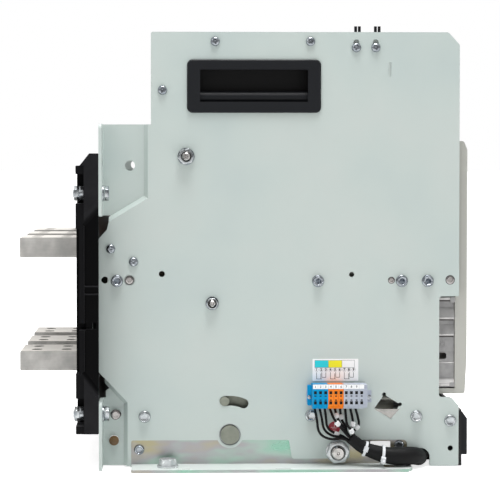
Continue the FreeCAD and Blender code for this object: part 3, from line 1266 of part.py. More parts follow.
def blue_ear():
    y1 = BLOCK_FIRST + BLOCK_PITCH / 2
    ear = plate_block(BLOCK_BACK - EAR, BLOCK_BACK, y1, y1 + 3.9, 62.5, 83.0, 1.2)
    return ear.cut(rod_x(-180, -150, EAR_SCREW_Y, EAR_SCREW_Z, EAR_SCREW_R + RUN))


def marker_strip():
    z0 = BLOCK_Z[1] - 5.3
    y0 = BLOCK_FIRST - 9.5 * BLOCK_PITCH
    return block(BLOCK_FACE + 0.2, BLOCK_FACE + 1.6, y0 + 0.4, BLOCK_FIRST + BLOCK_PITCH / 2 - 0.4, z0,
                 z0 + 4.4)


def labels():
    sheet = plate_block(-PLATE_OUT - 0.25, -PLATE_OUT, -81.0, -35.0, 86.5, 108.5, 0.6)
    return [sheet, rod_x(-PLATE_OUT - 0.3, -PLATE_OUT, -57.0, 39.5, 6.0)]


def tube(points, r):
    # straight runs joined by tangent arcs, swept round
    pts = [V(*p) for p in points]
    edges = []
    start = pts[0]
    for i in range(1, len(pts) - 1):
        a, b, c = pts[i - 1], pts[i], pts[i + 1]
        u = a.sub(b)
        w = c.sub(b)
        lu, lw = u.Length, w.Length
        u.normalize()
        w.normalize()
        half = math.acos(max(-1.0, min(1.0, u.dot(w)))) / 2
        turn = math.pi / 2 - half
        if turn < 0.02:
            continue
        back = 0.45 * min(lu, lw)
        rad = back / math.tan(turn)
        t1 = b.add(u.multiply(back))
        t2 = b.add(w.multiply(back))
        bis = V(a.x, a.y, a.z).sub(b).normalize().add(V(c.x, c.y, c.z).sub(b).normalize()).normalize()
        mid = b.add(bis.multiply(rad / math.cos(turn) - rad))
        if start.distanceToPoint(t1) > 1e-6:
            edges.append(Part.makeLine(start, t1))
        edges.append(Part.Arc(t1, mid, t2).toShape())
        start = t2
    edges.append(Part.makeLine(start, pts[-1]))
    wire = Part.Wire(edges)
    way = pts[1].sub(pts[0])
    ring = Part.Wire(Part.makeCircle(r, pts[0], way))
    swept = wire.makePipeShell([ring], True, False)
    if swept.ShapeType != "Solid":
        swept = Part.Solid(swept) if swept.ShapeType == "Shell" else swept.Solids[0]
    return swept


# sleeve round the wires: x, y, z and radius along its way into the plate
SLEEVE = [
    (-170.0, -71.5, 31.3, 5.6), (-170.5, -79.0, 24.8, 5.9), (-171.0, -86.8, 20.4, 6.3),
    (-171.5, -95.8, 17.3, 7.3),
    (-172.0, -104.7, 14.6, 8.0), (-172.0, -116.6, 13.0, 8.9), (-170.0, -127.0, 12.8, 9.2),
    (-164.5, -136.5, 12.3, 8.8),
    (-156.0, -141.6, 10.0, 8.3), (-148.0, -142.3, 9.9, 8.1), (-136.0, -142.0, 12.0, 7.8),
    (-120.0, -139.0, 16.0, 7.2),
]
WIRE_R = 1.25
WIRE_START = -168.0


def sleeve_direction(i):
    a = SLEEVE[max(i - 1, 0)]
    b = SLEEVE[min(i + 1, len(SLEEVE) - 1)]
    return V(b[0] - a[0], b[1] - a[1], b[2] - a[2]).normalize()


def wire_sleeve():
    rings = []
    for i, (x, y, z, r) in enumerate(SLEEVE):
        rings.append(Part.Wire(Part.makeCircle(r, V(x, y, z), sleeve_direction(i))))
    return Part.makeLoft(rings, True, False)


def mouth(across, deep, back):
    # point of the wire grid at the sleeve's mouth, back mm before it
    way = sleeve_direction(0)
    x, y, z, r = SLEEVE[0]
    side = V(1, 0, 0)
    up = way.cross(side)
    if up.z < 0:
        up = up.multiply(-1)
    p = V(x, y, z).add(V(side).multiply(deep)).add(V(up).multiply(across)).add(V(way).multiply(-back))
    return (p.x, p.y, p.z)


WIRE_WAYS = [
    [(-37.4, 50.0), (-42.0, 40.5), (-52.5, 33.6)],
    [(-43.2, 50.5), (-46.5, 43.5), (-54.5, 37.4)],
    [(-47.0, 52.0), (-50.5, 46.0), (-57.0, 41.0)],
    [(-53.3, 54.0), (-56.0, 47.0), (-61.0, 41.0)],
    [(-57.0, 53.0), (-58.8, 46.8), (-63.0, 41.5)],
    [(-61.8, 53.0), (-62.8, 47.5), (-65.5, 42.8)],
    [(-66.6, 52.0), (-67.0, 47.5), (-68.4, 43.0)],
    [(-71.6, 52.0), (-71.5, 47.0), (-70.2, 42.0)],
    [(-78.6, 51.0), (-78.2, 44.0), (-72.5, 40.0)],
]


def wire_points(i):
    row = i // 3
    deep = (i % 3 - 1) * 2.75
    across = (row - 1) * 2.75
    y = BLOCK_FIRST - i * BLOCK_PITCH
    points = [(WIRE_START, y, BLOCK_Z[0] - 0.3)]
    for k, (wy, wz) in enumerate(WIRE_WAYS[i]):
        x = WIRE_START + deep * (1.5, 1.7, 1.2)[k] - (2.5, 4.0, 3.0)[k]
        points.append((x, wy, wz))
    points.append(mouth(across, deep, 4.5))
    points.append(mouth(across, deep, 0.35))
    return points


def wires():
    return [tube(wire_points(i), WIRE_R) for i in range(9)]


def tie(i, t, wide, look):
    # band round the sleeve between two of its stations, with its head
    a, b = SLEEVE[i], SLEEVE[i + 1]
    x, y, z, r = [a[k] + (b[k] - a[k]) * t for k in range(4)]
    way = V(b[0] - a[0], b[1] - a[1], b[2] - a[2]).normalize()
    inner = r + 0.45
    band = lathe([(inner, -wide / 2), (inner + 1.1, -wide / 2), (inner + 1.1, wide / 2),
                  (inner, wide / 2)], x, y, z, way)
    head = block(-2.6, 2.6, inner + 0.6, inner + 4.4, -wide / 2 - 0.8, wide / 2 + 0.8)
    tail = block(-1.2, 1.2, inner + 4.4, inner + 7.5, -wide / 2 + 0.2, wide / 2 - 0.2)
    lock = fuse([head, tail])
    out = V(*look)
    out = out.sub(V(way).multiply(out.dot(way))).normalize()
    side = out.cross(way)
    lock.Placement = FreeCAD.Placement(V(x, y, z), FreeCAD.Rotation(side, out, way, "ZYX"))
    return fuse([band, lock])


def cable_ties():
    return [tie(2, -0.05, 2.6, (-1.0, 0.3, 0.2)), tie(4, -0.1, 2.8, (-1.0, 0.0, -0.35))]


def build():
    os.makedirs("parts", exist_ok=True)
    plate = side_plate()
    save("side_plate_left", plate)
    save("side_plate_right", other(plate))
    foot = foot_bracket()
    save("foot_brackets", both([foot]))
    save("base_plate", base_plate())
    save("bearings", shaft_bushes() + screw_bearings())
    save("rear_base", rear_base())
    save("upper_terminals", [terminal(x, UPPER_Z, False) for x in POLES])
    save("lower_terminals", [terminal(x, LOWER_Z, x < 0) for x in POLES])
    save("jaw_contacts", fingers(UPPER_Z) + fingers(LOWER_Z) + jaw_cages(UPPER_Z) + jaw_cages(LOWER_Z))
    save("shutter_posts", shutter_posts())
    save("shutter_upper", shutter(UPPER_Z + PLUG_THICK / 2 + SHUTTER_CLEAR))
    save("shutter_lower", shutter(LOWER_Z - PLUG_THICK / 2 - SHUTTER_CLEAR - SHUTTER_TALL))
    save("rail_guides", rail_guides())
    save("mid_rails", mid_rails())
    save("inner_rails", inner_rails())
    save("racking_shaft", racking_shaft())
    save("racking_nut", racking_nut())
    save("racking_screw", racking_screw())
    save("front_panel", front_panel())
    save("racking_module", racking_module())
    save("position_indicator", indicator())
    save("release_button", release_button())
    save("crank_handle", crank_handle())
    save("cross_members", [top_plate(), rear_tie(), secondary_sockets()])
    save("plate_studs", cross_rods() + plate_nuts())
    save("side_bolts", side_bolts())
    save("plate_screws", pan_screws() + leaf_screws())
    save("flange_bolts", flange_bolts() + flange_nuts())
    save("foot_bolts", foot_bolts())
    nut, stud = earth_bolt()
    save("earth_bolt", nut + stud)
    save("handle_cups", both([handle_cup()]))
    save("secondary_socket", socket_body())
    last = BLOCK_FIRST - 9.5 * BLOCK_PITCH
    save("blocks_blue", [terminal_block(i) for i in range(3)] + [blue_ear()])
    save("blocks_orange", [terminal_block(i) for i in range(3, 6)])
    save("blocks_grey", [terminal_block(i) for i in range(6, 10)] + [block_end(last - 3.4, last)])
    save("block_rail", [block_rail(), marker_strip()])
    save("labels", labels())
    save("block_wires", wires())
    save("wire_sleeve", wire_sleeve())
    save("cable_ties", cable_ties())
    save("body_plates", body_plates() + [coil_tray(), plug_deck()])
    save("pole_housing", pole_housing())
    save("plug_bars", fixed_contacts() + lower_bars())
    save("current_transformers", transformers())
    save("contact_shaft", contact_shaft())
    save("arc_chutes", arc_chutes() + splitter_plates())
    save("mechanism_frame", mechanism_frame())
    save("closing_spring", closing_spring())
    save("charging_motor", charging_motor())
    save("release_coils", release_coils())
    save("front_frame", front_frame())
    save("front_cover", front_cover())
    save("controller", [controller()] + controller_keys())
    save("on_button", push_button(64.0, 232.0))
    save("off_button", push_button(64.0, 204.0))
    save("reset_button", reset_button())
    save("charging_handle", charging_handle())
    save("contact_flag", flag(173.0))
    save("spring_flag", flag(149.0))
    save("secondary_plug", secondary_plug())


build()
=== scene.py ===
import json
import math

import bpy
from mathutils import Matrix, Vector


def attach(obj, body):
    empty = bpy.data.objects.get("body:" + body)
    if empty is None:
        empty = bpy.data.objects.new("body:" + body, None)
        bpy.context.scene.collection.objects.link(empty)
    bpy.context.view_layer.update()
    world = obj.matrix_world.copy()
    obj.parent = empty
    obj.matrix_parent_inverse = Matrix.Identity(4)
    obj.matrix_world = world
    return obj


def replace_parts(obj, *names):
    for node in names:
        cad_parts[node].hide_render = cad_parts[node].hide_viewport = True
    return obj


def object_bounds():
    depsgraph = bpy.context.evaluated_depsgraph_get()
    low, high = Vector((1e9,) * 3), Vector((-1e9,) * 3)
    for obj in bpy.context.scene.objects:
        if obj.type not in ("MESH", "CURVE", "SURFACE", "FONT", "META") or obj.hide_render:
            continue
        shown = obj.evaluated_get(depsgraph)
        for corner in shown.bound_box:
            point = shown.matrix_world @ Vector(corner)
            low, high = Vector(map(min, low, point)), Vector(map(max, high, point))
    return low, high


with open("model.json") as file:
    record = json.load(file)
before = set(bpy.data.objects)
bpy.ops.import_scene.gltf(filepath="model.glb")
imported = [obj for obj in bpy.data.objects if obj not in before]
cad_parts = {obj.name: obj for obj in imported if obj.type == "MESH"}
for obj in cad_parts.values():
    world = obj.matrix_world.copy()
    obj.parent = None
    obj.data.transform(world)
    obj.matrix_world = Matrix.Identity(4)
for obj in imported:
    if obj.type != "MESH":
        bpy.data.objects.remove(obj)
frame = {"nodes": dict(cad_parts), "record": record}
cad_low, cad_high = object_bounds()

MM = 0.001

# planes, heights and pitches of the left side, in millimetres
PLATE = -155.5
PLATE_BACK = -152.5
FILM_FACE = PLATE - 0.25
BASE_SIDE = 187.5
BLOCKS = 10
WIRES = 9
BLOCK_FACE = -179.5
BLOCK_FIRST = -35.9
BLOCK_PITCH = 5.1
STRIP_Z = 83.5

# function label: front edge and width of its fields, first place, pitch and height of its figures
FIELDS_FROM = -37.3
FIELD_WIDE = 13.6
COLUMN_FIRST = -39.1
COLUMN_PITCH = 4.63
FIGURES_Z = 97.6

# printed faces of the operating side, and the control wiring socket on top of the cassette
SCREEN_FACE = -190.45
FLAG_FACE = -188.5
INDICATOR_FACE = -181.6
SOCKET_TOP = 428.0
SOCKET_FIRST = -112.0
SOCKET_PITCH = 8.0
SOCKET_WAYS = 29

# camera: the place from which the photograph was taken, and its framing in pixels
EYE = Vector((-1895.5, 111.5, 308.5)) * MM
PICTURE_PX = 500
FOCUS_PX = 1746.0
STRAIGHT_AHEAD_PX = (166.0, 159.0)
SHIFT_PX = (40.0, 45.0)

# the range in which a noise pattern mostly lies
MOSTLY = {"From Min": 0.3, "From Max": 0.7}


def hex_colour(code):
    parts = [int(code[i:i + 2], 16) / 255 for i in (1, 3, 5)]
    linear = [c / 12.92 if c <= 0.04045 else ((c + 0.055) / 1.055) ** 2.4 for c in parts]
    return (*linear, 1.0)


def feed(tree, node, inputs):
    # an input gets a value, an output of another node, or the first output of a node that is given whole
    for name, value in inputs.items():
        if isinstance(value, bpy.types.Node):
            value = value.outputs[0]
        if isinstance(value, bpy.types.NodeSocket):
            tree.links.new(value, node.inputs[name])
        else:
            node.inputs[name].default_value = value


def add(tree, kind, inputs=None, stops=(), **settings):
    # stops are the places and colours of a colour ramp
    node = tree.nodes.new("ShaderNode" + kind)
    for name, value in settings.items():
        setattr(node, name, value)
    if stops:
        elements = node.color_ramp.elements
        while len(elements) < len(stops):
            elements.new(0.5)
        for element, (where, code) in zip(elements, stops):
            element.position = where
            element.color = hex_colour(code)
    feed(tree, node, inputs or {})
    return node


def start_material(name):
    material = bpy.data.materials.new(name)
    material.use_nodes = True
    tree = material.node_tree
    return material, tree, tree.nodes["Principled BSDF"], add(tree, "TexCoord").outputs["Object"]


def per_m(size_mm):
    # scale of a pattern whose features have this real size
    return 1 / (size_mm * MM)


def facing_up(tree, low, high):
    # 0 to 1 as a surface turns its face upwards
    normal = add(tree, "NewGeometry").outputs["Normal"]
    up = add(tree, "SeparateXYZ", {"Vector": normal}).outputs["Z"]
    return add(tree, "MapRange", {"Value": up, "From Min": low, "From Max": high})


# finishes

def plate_paint():
    # polyester powder coat on steel sheet: satin pale grey-green with a fine orange peel
    material, tree, shader, place = start_material("plate_paint")
    drift = add(tree, "TexNoise", {"Vector": place, "Scale": per_m(90.0), "Detail": 2.0})
    colour = add(tree, "ValToRGB", {"Fac": drift}, [(0.3, "#BFCBC8"), (0.5, "#C3CECA"), (0.7, "#C6CFCB")])
    rough = add(tree, "MapRange", {"Value": drift, **MOSTLY, "To Min": 0.36, "To Max": 0.44})
    peel = add(tree, "TexNoise", {"Vector": place, "Scale": per_m(1.6), "Detail": 2.0})
    bump = add(tree, "Bump", {"Height": peel, "Distance": 0.05 * MM, "Strength": 0.35})
    feed(tree, shader, {"Base Color": colour, "Roughness": rough, "IOR": 1.5, "Normal": bump})
    return material


def zinc():
    # zinc-plated, passivated steel sheet: pale grey metal with faint green, blue and straw tints
    material, tree, shader, place = start_material("zinc")
    stretch = add(tree, "Mapping", {"Vector": place, "Scale": (1.0, 0.5, 1.4)})
    cloud = add(tree, "TexNoise", {"Vector": stretch, "Scale": per_m(75.0), "Detail": 1.5})
    tints = [(0.3, "#ACBDB4"), (0.45, "#B4BDB9"), (0.56, "#B8BCB8"), (0.72, "#B9B8AC")]
    colour = add(tree, "ValToRGB", {"Fac": cloud}, tints)
    rough = add(tree, "MapRange", {"Value": cloud, **MOSTLY, "To Min": 0.26, "To Max": 0.38})
    skin = add(tree, "TexNoise", {"Vector": stretch, "Scale": per_m(3.0), "Detail": 3.0})
    bump = add(tree, "Bump", {"Height": skin, "Distance": 0.03 * MM, "Strength": 0.3})
    feed(tree, shader, {"Base Color": colour, "Metallic": 0.72, "Roughness": rough, "Normal": bump})
    return material


def bright_zinc(name="bright_zinc", dark="#868C93", light="#B0B5BA", metal=1.0):
    # blue-passivated fasteners: cold grey metal, smooth on the flats and slightly uneven from cold heading
    material, tree, shader, place = start_material(name)
    spot = add(tree, "TexNoise", {"Vector": place, "Scale": per_m(5.0), "Detail": 2.0})
    colour = add(tree, "ValToRGB", {"Fac": spot}, [(0.32, dark), (0.68, light)])
    rough = add(tree, "MapRange", {"Value": spot, **MOSTLY, "To Min": 0.16, "To Max": 0.28})
    skin = add(tree, "TexNoise", {"Vector": place, "Scale": per_m(1.1), "Detail": 2.0})
    bump = add(tree, "Bump", {"Height": skin, "Distance": 0.015 * MM, "Strength": 0.4})
    feed(tree, shader, {"Base Color": colour, "Metallic": metal, "Roughness": rough, "Normal": bump})
    return material


def steel():
    # bright drawn steel: grey metal with fine lines along its length
    material, tree, shader, place = start_material("steel")
    lines = add(tree, "Mapping", {"Vector": place, "Scale": (1.0, 0.06, 1.0)})
    streak = add(tree, "TexNoise", {"Vector": lines, "Scale": per_m(1.2), "Detail": 3.0})
    colour = add(tree, "ValToRGB", {"Fac": streak}, [(0.3, "#8C8F92"), (0.7, "#B4B6B8")])
    rough = add(tree, "MapRange", {"Value": streak, **MOSTLY, "To Min": 0.28, "To Max": 0.42})
    bump = add(tree, "Bump", {"Height": streak, "Distance": 0.04 * MM, "Strength": 0.4})
    feed(tree, shader, {"Base Color": colour, "Metallic": 1.0, "Roughness": rough, "Normal": bump})
    return material


def tinned_copper():
    # hot-tinned copper bar: warm satin grey with faint rolling lines and dull patches, whiter and less metallic where
    # it faces up as painted top light
    material, tree, shader, place = start_material("tinned_copper")
    along = add(tree, "Mapping", {"Vector": place, "Scale": (1.0, 0.08, 1.0)})
    streak = add(tree, "TexNoise", {"Vector": along, "Scale": per_m(1.6), "Detail": 3.0})
    patch = add(tree, "TexNoise", {"Vector": place, "Scale": per_m(16.0), "Detail": 3.0})
    lines = add(tree, "MapRange", {"Value": streak, "To Min": 0.4, "To Max": 0.6})
    total = add(tree, "Math", {0: lines, 1: patch}, operation="ADD")
    half = add(tree, "Math", {0: total, 1: 0.5}, operation="MULTIPLY")
    colour = add(tree, "ValToRGB", {"Fac": half}, [(0.38, "#A7A6A3"), (0.5, "#BBB9B5"), (0.62, "#D2D0CC")])
    # painted top light: faces turned up are mixed towards a pale colour and made less metallic
    level = facing_up(tree, 0.3, 0.9)
    lit = add(tree, "MixRGB", {"Fac": level, "Color1": colour, "Color2": hex_colour("#E6E1D9")})
    bare = add(tree, "MapRange", {"Value": level, "To Min": 0.75, "To Max": 0.45})
    rough = add(tree, "MapRange", {"Value": half, **MOSTLY, "To Min": 0.4, "To Max": 0.5})
    bump = add(tree, "Bump", {"Height": streak, "Distance": 0.02 * MM, "Strength": 0.4})
    feed(tree, shader, {"Base Color": lit, "Metallic": bare, "Roughness": rough, "Normal": bump})
    return material


def copper():
    # silver-plated copper contacts: warm pale metal, tarnished in places
    material, tree, shader, place = start_material("copper")
    patch = add(tree, "TexNoise", {"Vector": place, "Scale": per_m(9.0), "Detail": 4.0})
    colour = add(tree, "ValToRGB", {"Fac": patch}, [(0.34, "#9A6A4C"), (0.5, "#B98A69"), (0.68, "#C9B6A2")])
    rough = add(tree, "MapRange", {"Value": patch, **MOSTLY, "To Min": 0.26, "To Max": 0.42})
    skin = add(tree, "TexNoise", {"Vector": place, "Scale": per_m(1.5), "Detail": 3.0})
    bump = add(tree, "Bump", {"Height": skin, "Distance": 0.05 * MM, "Strength": 0.4})
    feed(tree, shader, {"Base Color": colour, "Metallic": 1.0, "Roughness": rough, "Normal": bump})
    return material


def moulding(name, dark, light, rough, texture_mm, depth_mm, shine=0.5):
    # injection-moulded plastic: even colour, spark-eroded texture, slight flow marks
    material, tree, shader, place = start_material(name)
    flow = add(tree, "TexNoise", {"Vector": place, "Scale": per_m(22.0), "Detail": 2.0})
    colour = add(tree, "ValToRGB", {"Fac": flow}, [(0.3, dark), (0.7, light)])
    texture = add(tree, "TexNoise", {"Vector": place, "Scale": per_m(texture_mm), "Detail": 2.0})
    dull = add(tree, "MapRange", {"Value": texture, **MOSTLY, "To Min": rough - 0.05, "To Max": rough + 0.06})
    bump = add(tree, "Bump", {"Height": texture, "Distance": depth_mm * MM, "Strength": 0.5})
    feed(tree, shader, {"Base Color": colour, "Roughness": dull, "IOR": 1.5, "Specular IOR Level": shine,
                        "Normal": bump})
    return material


MOULDINGS = {
    # glass-filled thermoset: deep black, half matt, slightly coarse skin
    "black_mould": ("#050506", "#09090B", 0.4, 1.1, 0.04, 0.2),
    # textured polyamide of plugs, sockets and housings: very dark blue-grey, matt
    "black_plastic": ("#101115", "#17191E", 0.5, 0.9, 0.05, 0.28),
    # fine-structure black powder coat on sheet
    "black_paint": ("#0E0E10", "#151517", 0.5, 1.3, 0.05, 0.35),
    # warm grey polycarbonate front cover, lightly eroded texture
    "grey_plastic": ("#BBBBB4", "#BEBEB7", 0.5, 1.0, 0.05),
    # red-brown laminated insulating sheet
    "shutter_plastic": ("#7A2E22", "#8E3A2C", 0.55, 1.8, 0.05),
    # brown polyester moulding compound: cloudy from its short glass fibres
    "brown_mould": ("#3A241B", "#553829", 0.5, 2.4, 0.07),
    # dyed polyamide of terminal blocks, satin: clear blue, clear orange and light blue-grey
    "blue_plastic": ("#0090CB", "#009CD4", 0.45, 0.8, 0.03, 0.15),
    "orange_plastic": ("#F27A12", "#FA8A28", 0.42, 0.8, 0.03, 0.25),
    "light_plastic": ("#B1B8C6", "#BCC2CE", 0.42, 0.8, 0.03, 0.3),
    # glossy green and glossy red acetal keys
    "green_plastic": ("#1E7E3C", "#248A44", 0.28, 1.2, 0.02),
    "red_plastic": ("#B01C1E", "#C02424", 0.28, 1.2, 0.02),
}


def white_nylon():
    # natural nylon: milky white, light passes into it a little
    material = moulding("white_nylon", "#D3D6D9", "#E2E4E6", 0.4, 1.0, 0.03)
    tree = material.node_tree
    feed(tree, tree.nodes["Principled BSDF"], {"Subsurface Weight": 0.15, "Subsurface Radius": (2 * MM,) * 3})
    return material


def winding():
    # varnished copper wire, one turn beside the other
    material, tree, shader, place = start_material("winding")
    turns = add(tree, "TexWave", {"Vector": place, "Scale": 700.0, "Distortion": 0.4}, bands_direction="Z")
    colour = add(tree, "ValToRGB", {"Fac": turns.outputs["Fac"]}, [(0.0, "#3A1A0E"), (1.0, "#7C3B1E")])
    bump = add(tree, "Bump", {"Height": turns.outputs["Fac"], "Distance": 0.3 * MM, "Strength": 0.7})
    feed(tree, shader, {"Base Color": colour, "Roughness": 0.25, "Normal": bump})
    return material


def brass_nut():
    # machined brass: yellow metal with fine turning lines
    material, tree, shader, place = start_material("brass_nut")
    rings = add(tree, "Mapping", {"Vector": place, "Scale": (0.1, 1.0, 0.1)})
    turning = add(tree, "TexNoise", {"Vector": rings, "Scale": per_m(0.6), "Detail": 3.0})
    colour = add(tree, "ValToRGB", {"Fac": turning}, [(0.3, "#A98A4A"), (0.7, "#CDB06C")])
    bump = add(tree, "Bump", {"Height": turning, "Distance": 0.03 * MM, "Strength": 0.4})
    feed(tree, shader, {"Base Color": colour, "Metallic": 1.0, "Roughness": 0.3, "Normal": bump})
    return material


def die_cast():
    # die-cast aluminium, tumbled: soft grey, brighter on its upward faces as painted top light and wear, darker on its
    # downward faces as painted shade
    material, tree, shader, place = start_material("die_cast")
    skin = add(tree, "TexNoise", {"Vector": place, "Scale": per_m(9.0), "Detail": 4.0})
    colour = add(tree, "ValToRGB", {"Fac": skin}, [(0.3, "#949393"), (0.5, "#A2A1A1"), (0.72, "#AFAEAD")])
    # painted top light on upward faces, painted shade on downward faces
    top, under = facing_up(tree, 0.15, 0.8), facing_up(tree, -0.15, -0.8)
    wear_and_top_light = add(tree, "MixRGB", {"Fac": top, "Color1": colour, "Color2": hex_colour("#EFEDEB")})
    painted_light_and_shade = add(tree, "MixRGB", {"Fac": under, "Color1": wear_and_top_light, "Color2": hex_colour("#4E4C4A")})
    rough = add(tree, "MapRange", {"Value": skin, **MOSTLY, "To Min": 0.36, "To Max": 0.5})
    pores = add(tree, "TexNoise", {"Vector": place, "Scale": per_m(1.2), "Detail": 3.0})
    bump = add(tree, "Bump", {"Height": pores, "Distance": 0.05 * MM, "Strength": 0.5})
    feed(tree, shader, {"Base Color": painted_light_and_shade, "Metallic": 0.45, "Roughness": rough, "Normal": bump})
    return material


def label_film():
    # printed self-adhesive film: the sheet is white, and the round mark below it is dark red
    material, tree, shader, place = start_material("label_film")
    height = add(tree, "SeparateXYZ", {"Vector": place}).outputs["Z"]
    lower = add(tree, "Math", {0: height, 1: 60.0 * MM}, operation="LESS_THAN")
    colours = {"Color1": hex_colour("#FAFBFB"), "Color2": hex_colour("#A01A30")}
    mark = add(tree, "MixRGB", {"Fac": lower, **colours})
    film = add(tree, "TexNoise", {"Vector": place, "Scale": per_m(3.0), "Detail": 2.0})
    rough = add(tree, "MapRange", {"Value": film, **MOSTLY, "To Min": 0.3, "To Max": 0.38})
    bump = add(tree, "Bump", {"Height": film, "Distance": 0.02 * MM, "Strength": 0.3})
    feed(tree, shader, {"Base Color": mark, "Roughness": rough, "Normal": bump})
    return material


def ink(name, code):
    # printing ink on film: flat colour with a faintly uneven gloss
    material, tree, shader, place = start_material(name)
    patch = add(tree, "TexNoise", {"Vector": place, "Scale": per_m(2.0), "Detail": 2.0})
    rough = add(tree, "MapRange", {"Value": patch, **MOSTLY, "To Min": 0.32, "To Max": 0.42})
    feed(tree, shader, {"Base Color": hex_colour(code), "Roughness": rough})
    return material


def cable():
    # soft black sleeve and wire insulation: matt, with fine lengthwise creases in the sleeve
    material, tree, shader, place = start_material("cable")
    along = add(tree, "Mapping", {"Vector": place, "Scale": (1.0, 0.3, 1.0)})
    crease = add(tree, "TexNoise", {"Vector": along, "Scale": per_m(3.5), "Detail": 3.0})
    colour = add(tree, "ValToRGB", {"Fac": crease}, [(0.3, "#060607"), (0.7, "#0F0F10")])
    rough = add(tree, "MapRange", {"Value": crease, **MOSTLY, "To Min": 0.48, "To Max": 0.64})
    bump = add(tree, "Bump", {"Height": crease, "Distance": 0.4 * MM, "Strength": 0.6})
    feed(tree, shader, {"Base Color": colour, "Roughness": rough, "Specular IOR Level": 0.22, "Normal": bump})
    return material


def shaft_steel():
    # passivated turned steel of the racking shaft: olive grey, satin
    material, tree, shader, place = start_material("shaft_steel")
    cloud = add(tree, "TexNoise", {"Vector": place, "Scale": per_m(8.0), "Detail": 3.0})
    colour = add(tree, "ValToRGB", {"Fac": cloud}, [(0.3, "#7C8075"), (0.7, "#94978B")])
    rough = add(tree, "MapRange", {"Value": cloud, **MOSTLY, "To Min": 0.38, "To Max": 0.5})
    skin = add(tree, "TexNoise", {"Vector": place, "Scale": per_m(1.0), "Detail": 2.0})
    bump = add(tree, "Bump", {"Height": skin, "Distance": 0.02 * MM, "Strength": 0.4})
    feed(tree, shader, {"Base Color": colour, "Metallic": 0.7, "Roughness": rough, "Normal": bump})
    return material


def cup_plastic():
    # matt black polyamide of the handle cups, darkened down in the well as painted shade
    material, tree, shader, place = start_material("cup_plastic")
    sideways = add(tree, "SeparateXYZ", {"Vector": place}).outputs["X"]
    across = add(tree, "Math", {0: sideways}, operation="ABSOLUTE")
    # painted shade: the colour darkens towards the bottom of the well
    well_shade_mask = add(tree, "MapRange", {"Value": across, "From Min": 146.0 * MM, "From Max": 153.0 * MM})
    colour = add(tree, "ValToRGB", {"Fac": well_shade_mask}, [(0.0, "#020203"), (1.0, "#14161A")])
    texture = add(tree, "TexNoise", {"Vector": place, "Scale": per_m(0.9), "Detail": 2.0})
    rough = add(tree, "MapRange", {"Value": texture, **MOSTLY, "To Min": 0.42, "To Max": 0.52})
    bump = add(tree, "Bump", {"Height": texture, "Distance": 0.04 * MM, "Strength": 0.5})
    feed(tree, shader, {"Base Color": colour, "Roughness": rough, "IOR": 1.5, "Specular IOR Level": 0.25,
                        "Normal": bump})
    return material


def base_mould():
    # black thermoset of the rear base: its recesses are darker as painted shade, its handled faces vary with wear, and
    # faces turned up are greyer as painted top light
    material, tree, shader, place = start_material("base_mould")
    sideways = add(tree, "SeparateXYZ", {"Vector": place}).outputs["X"]
    across = add(tree, "Math", {0: sideways}, operation="ABSOLUTE")
    reach = {"From Min": (BASE_SIDE - 1.5) * MM, "From Max": (BASE_SIDE - 0.8) * MM}
    # painted shade: the recesses behind the side faces are darker
    recess_shade_mask = add(tree, "MapRange", {"Value": across, **reach})
    hands = add(tree, "TexNoise", {"Vector": place, "Scale": per_m(14.0), "Detail": 3.0})
    wear_and_top_light = add(tree, "MapRange", {"Value": hands, "To Min": 0.55, "To Max": 1.0})
    level = add(tree, "Math", {0: recess_shade_mask, 1: wear_and_top_light}, operation="MULTIPLY")
    colour = add(tree, "ValToRGB", {"Fac": level}, [(0.0, "#020203"), (0.5, "#161618"), (1.0, "#28282A")])
    # painted top light: faces turned up are greyer
    top = facing_up(tree, 0.3, 0.9)
    painted_top_light = add(tree, "MixRGB", {"Fac": top, "Color1": colour, "Color2": hex_colour("#3A3A3C")})
    texture = add(tree, "TexNoise", {"Vector": place, "Scale": per_m(1.1), "Detail": 2.0})
    rough = add(tree, "MapRange", {"Value": texture, **MOSTLY, "To Min": 0.36, "To Max": 0.46})
    bump = add(tree, "Bump", {"Height": texture, "Distance": 0.04 * MM, "Strength": 0.5})
    feed(tree, shader, {"Base Color": painted_top_light, "Roughness": rough, "IOR": 1.5, "Specular IOR Level": 0.07,
                        "Normal": bump})
    return material


def foot_zinc():
    # zinc-plated foot with an iridescent passivation: lilac, green and straw clouds, brighter and less metallic where
    # it faces up as painted top light
    material, tree, shader, place = start_material("foot_zinc")
    stretch = add(tree, "Mapping", {"Vector": place, "Scale": (1.0, 0.45, 1.2)})
    cloud = add(tree, "TexNoise", {"Vector": stretch, "Scale": per_m(34.0), "Detail": 3.0})
    tints = [(0.32, "#8FBCA8"), (0.44, "#A9BDB3"), (0.54, "#ABA8AB"), (0.68, "#B5AD8E")]
    colour = add(tree, "ValToRGB", {"Fac": cloud}, tints)
    # painted top light: faces turned up are mixed towards near white and made less metallic
    level = facing_up(tree, 0.3, 0.9)
    lit = add(tree, "MixRGB", {"Fac": level, "Color1": colour, "Color2": hex_colour("#EAF1EE")})
    bare = add(tree, "MapRange", {"Value": level, "To Min": 0.75, "To Max": 0.1})
    rough = add(tree, "MapRange", {"Value": cloud, **MOSTLY, "To Min": 0.26, "To Max": 0.38})
    skin = add(tree, "TexNoise", {"Vector": stretch, "Scale": per_m(3.0), "Detail": 3.0})
    bump = add(tree, "Bump", {"Height": skin, "Distance": 0.03 * MM, "Strength": 0.3})
    feed(tree, shader, {"Base Color": lit, "Metallic": bare, "Roughness": rough, "Normal": bump})
    return material


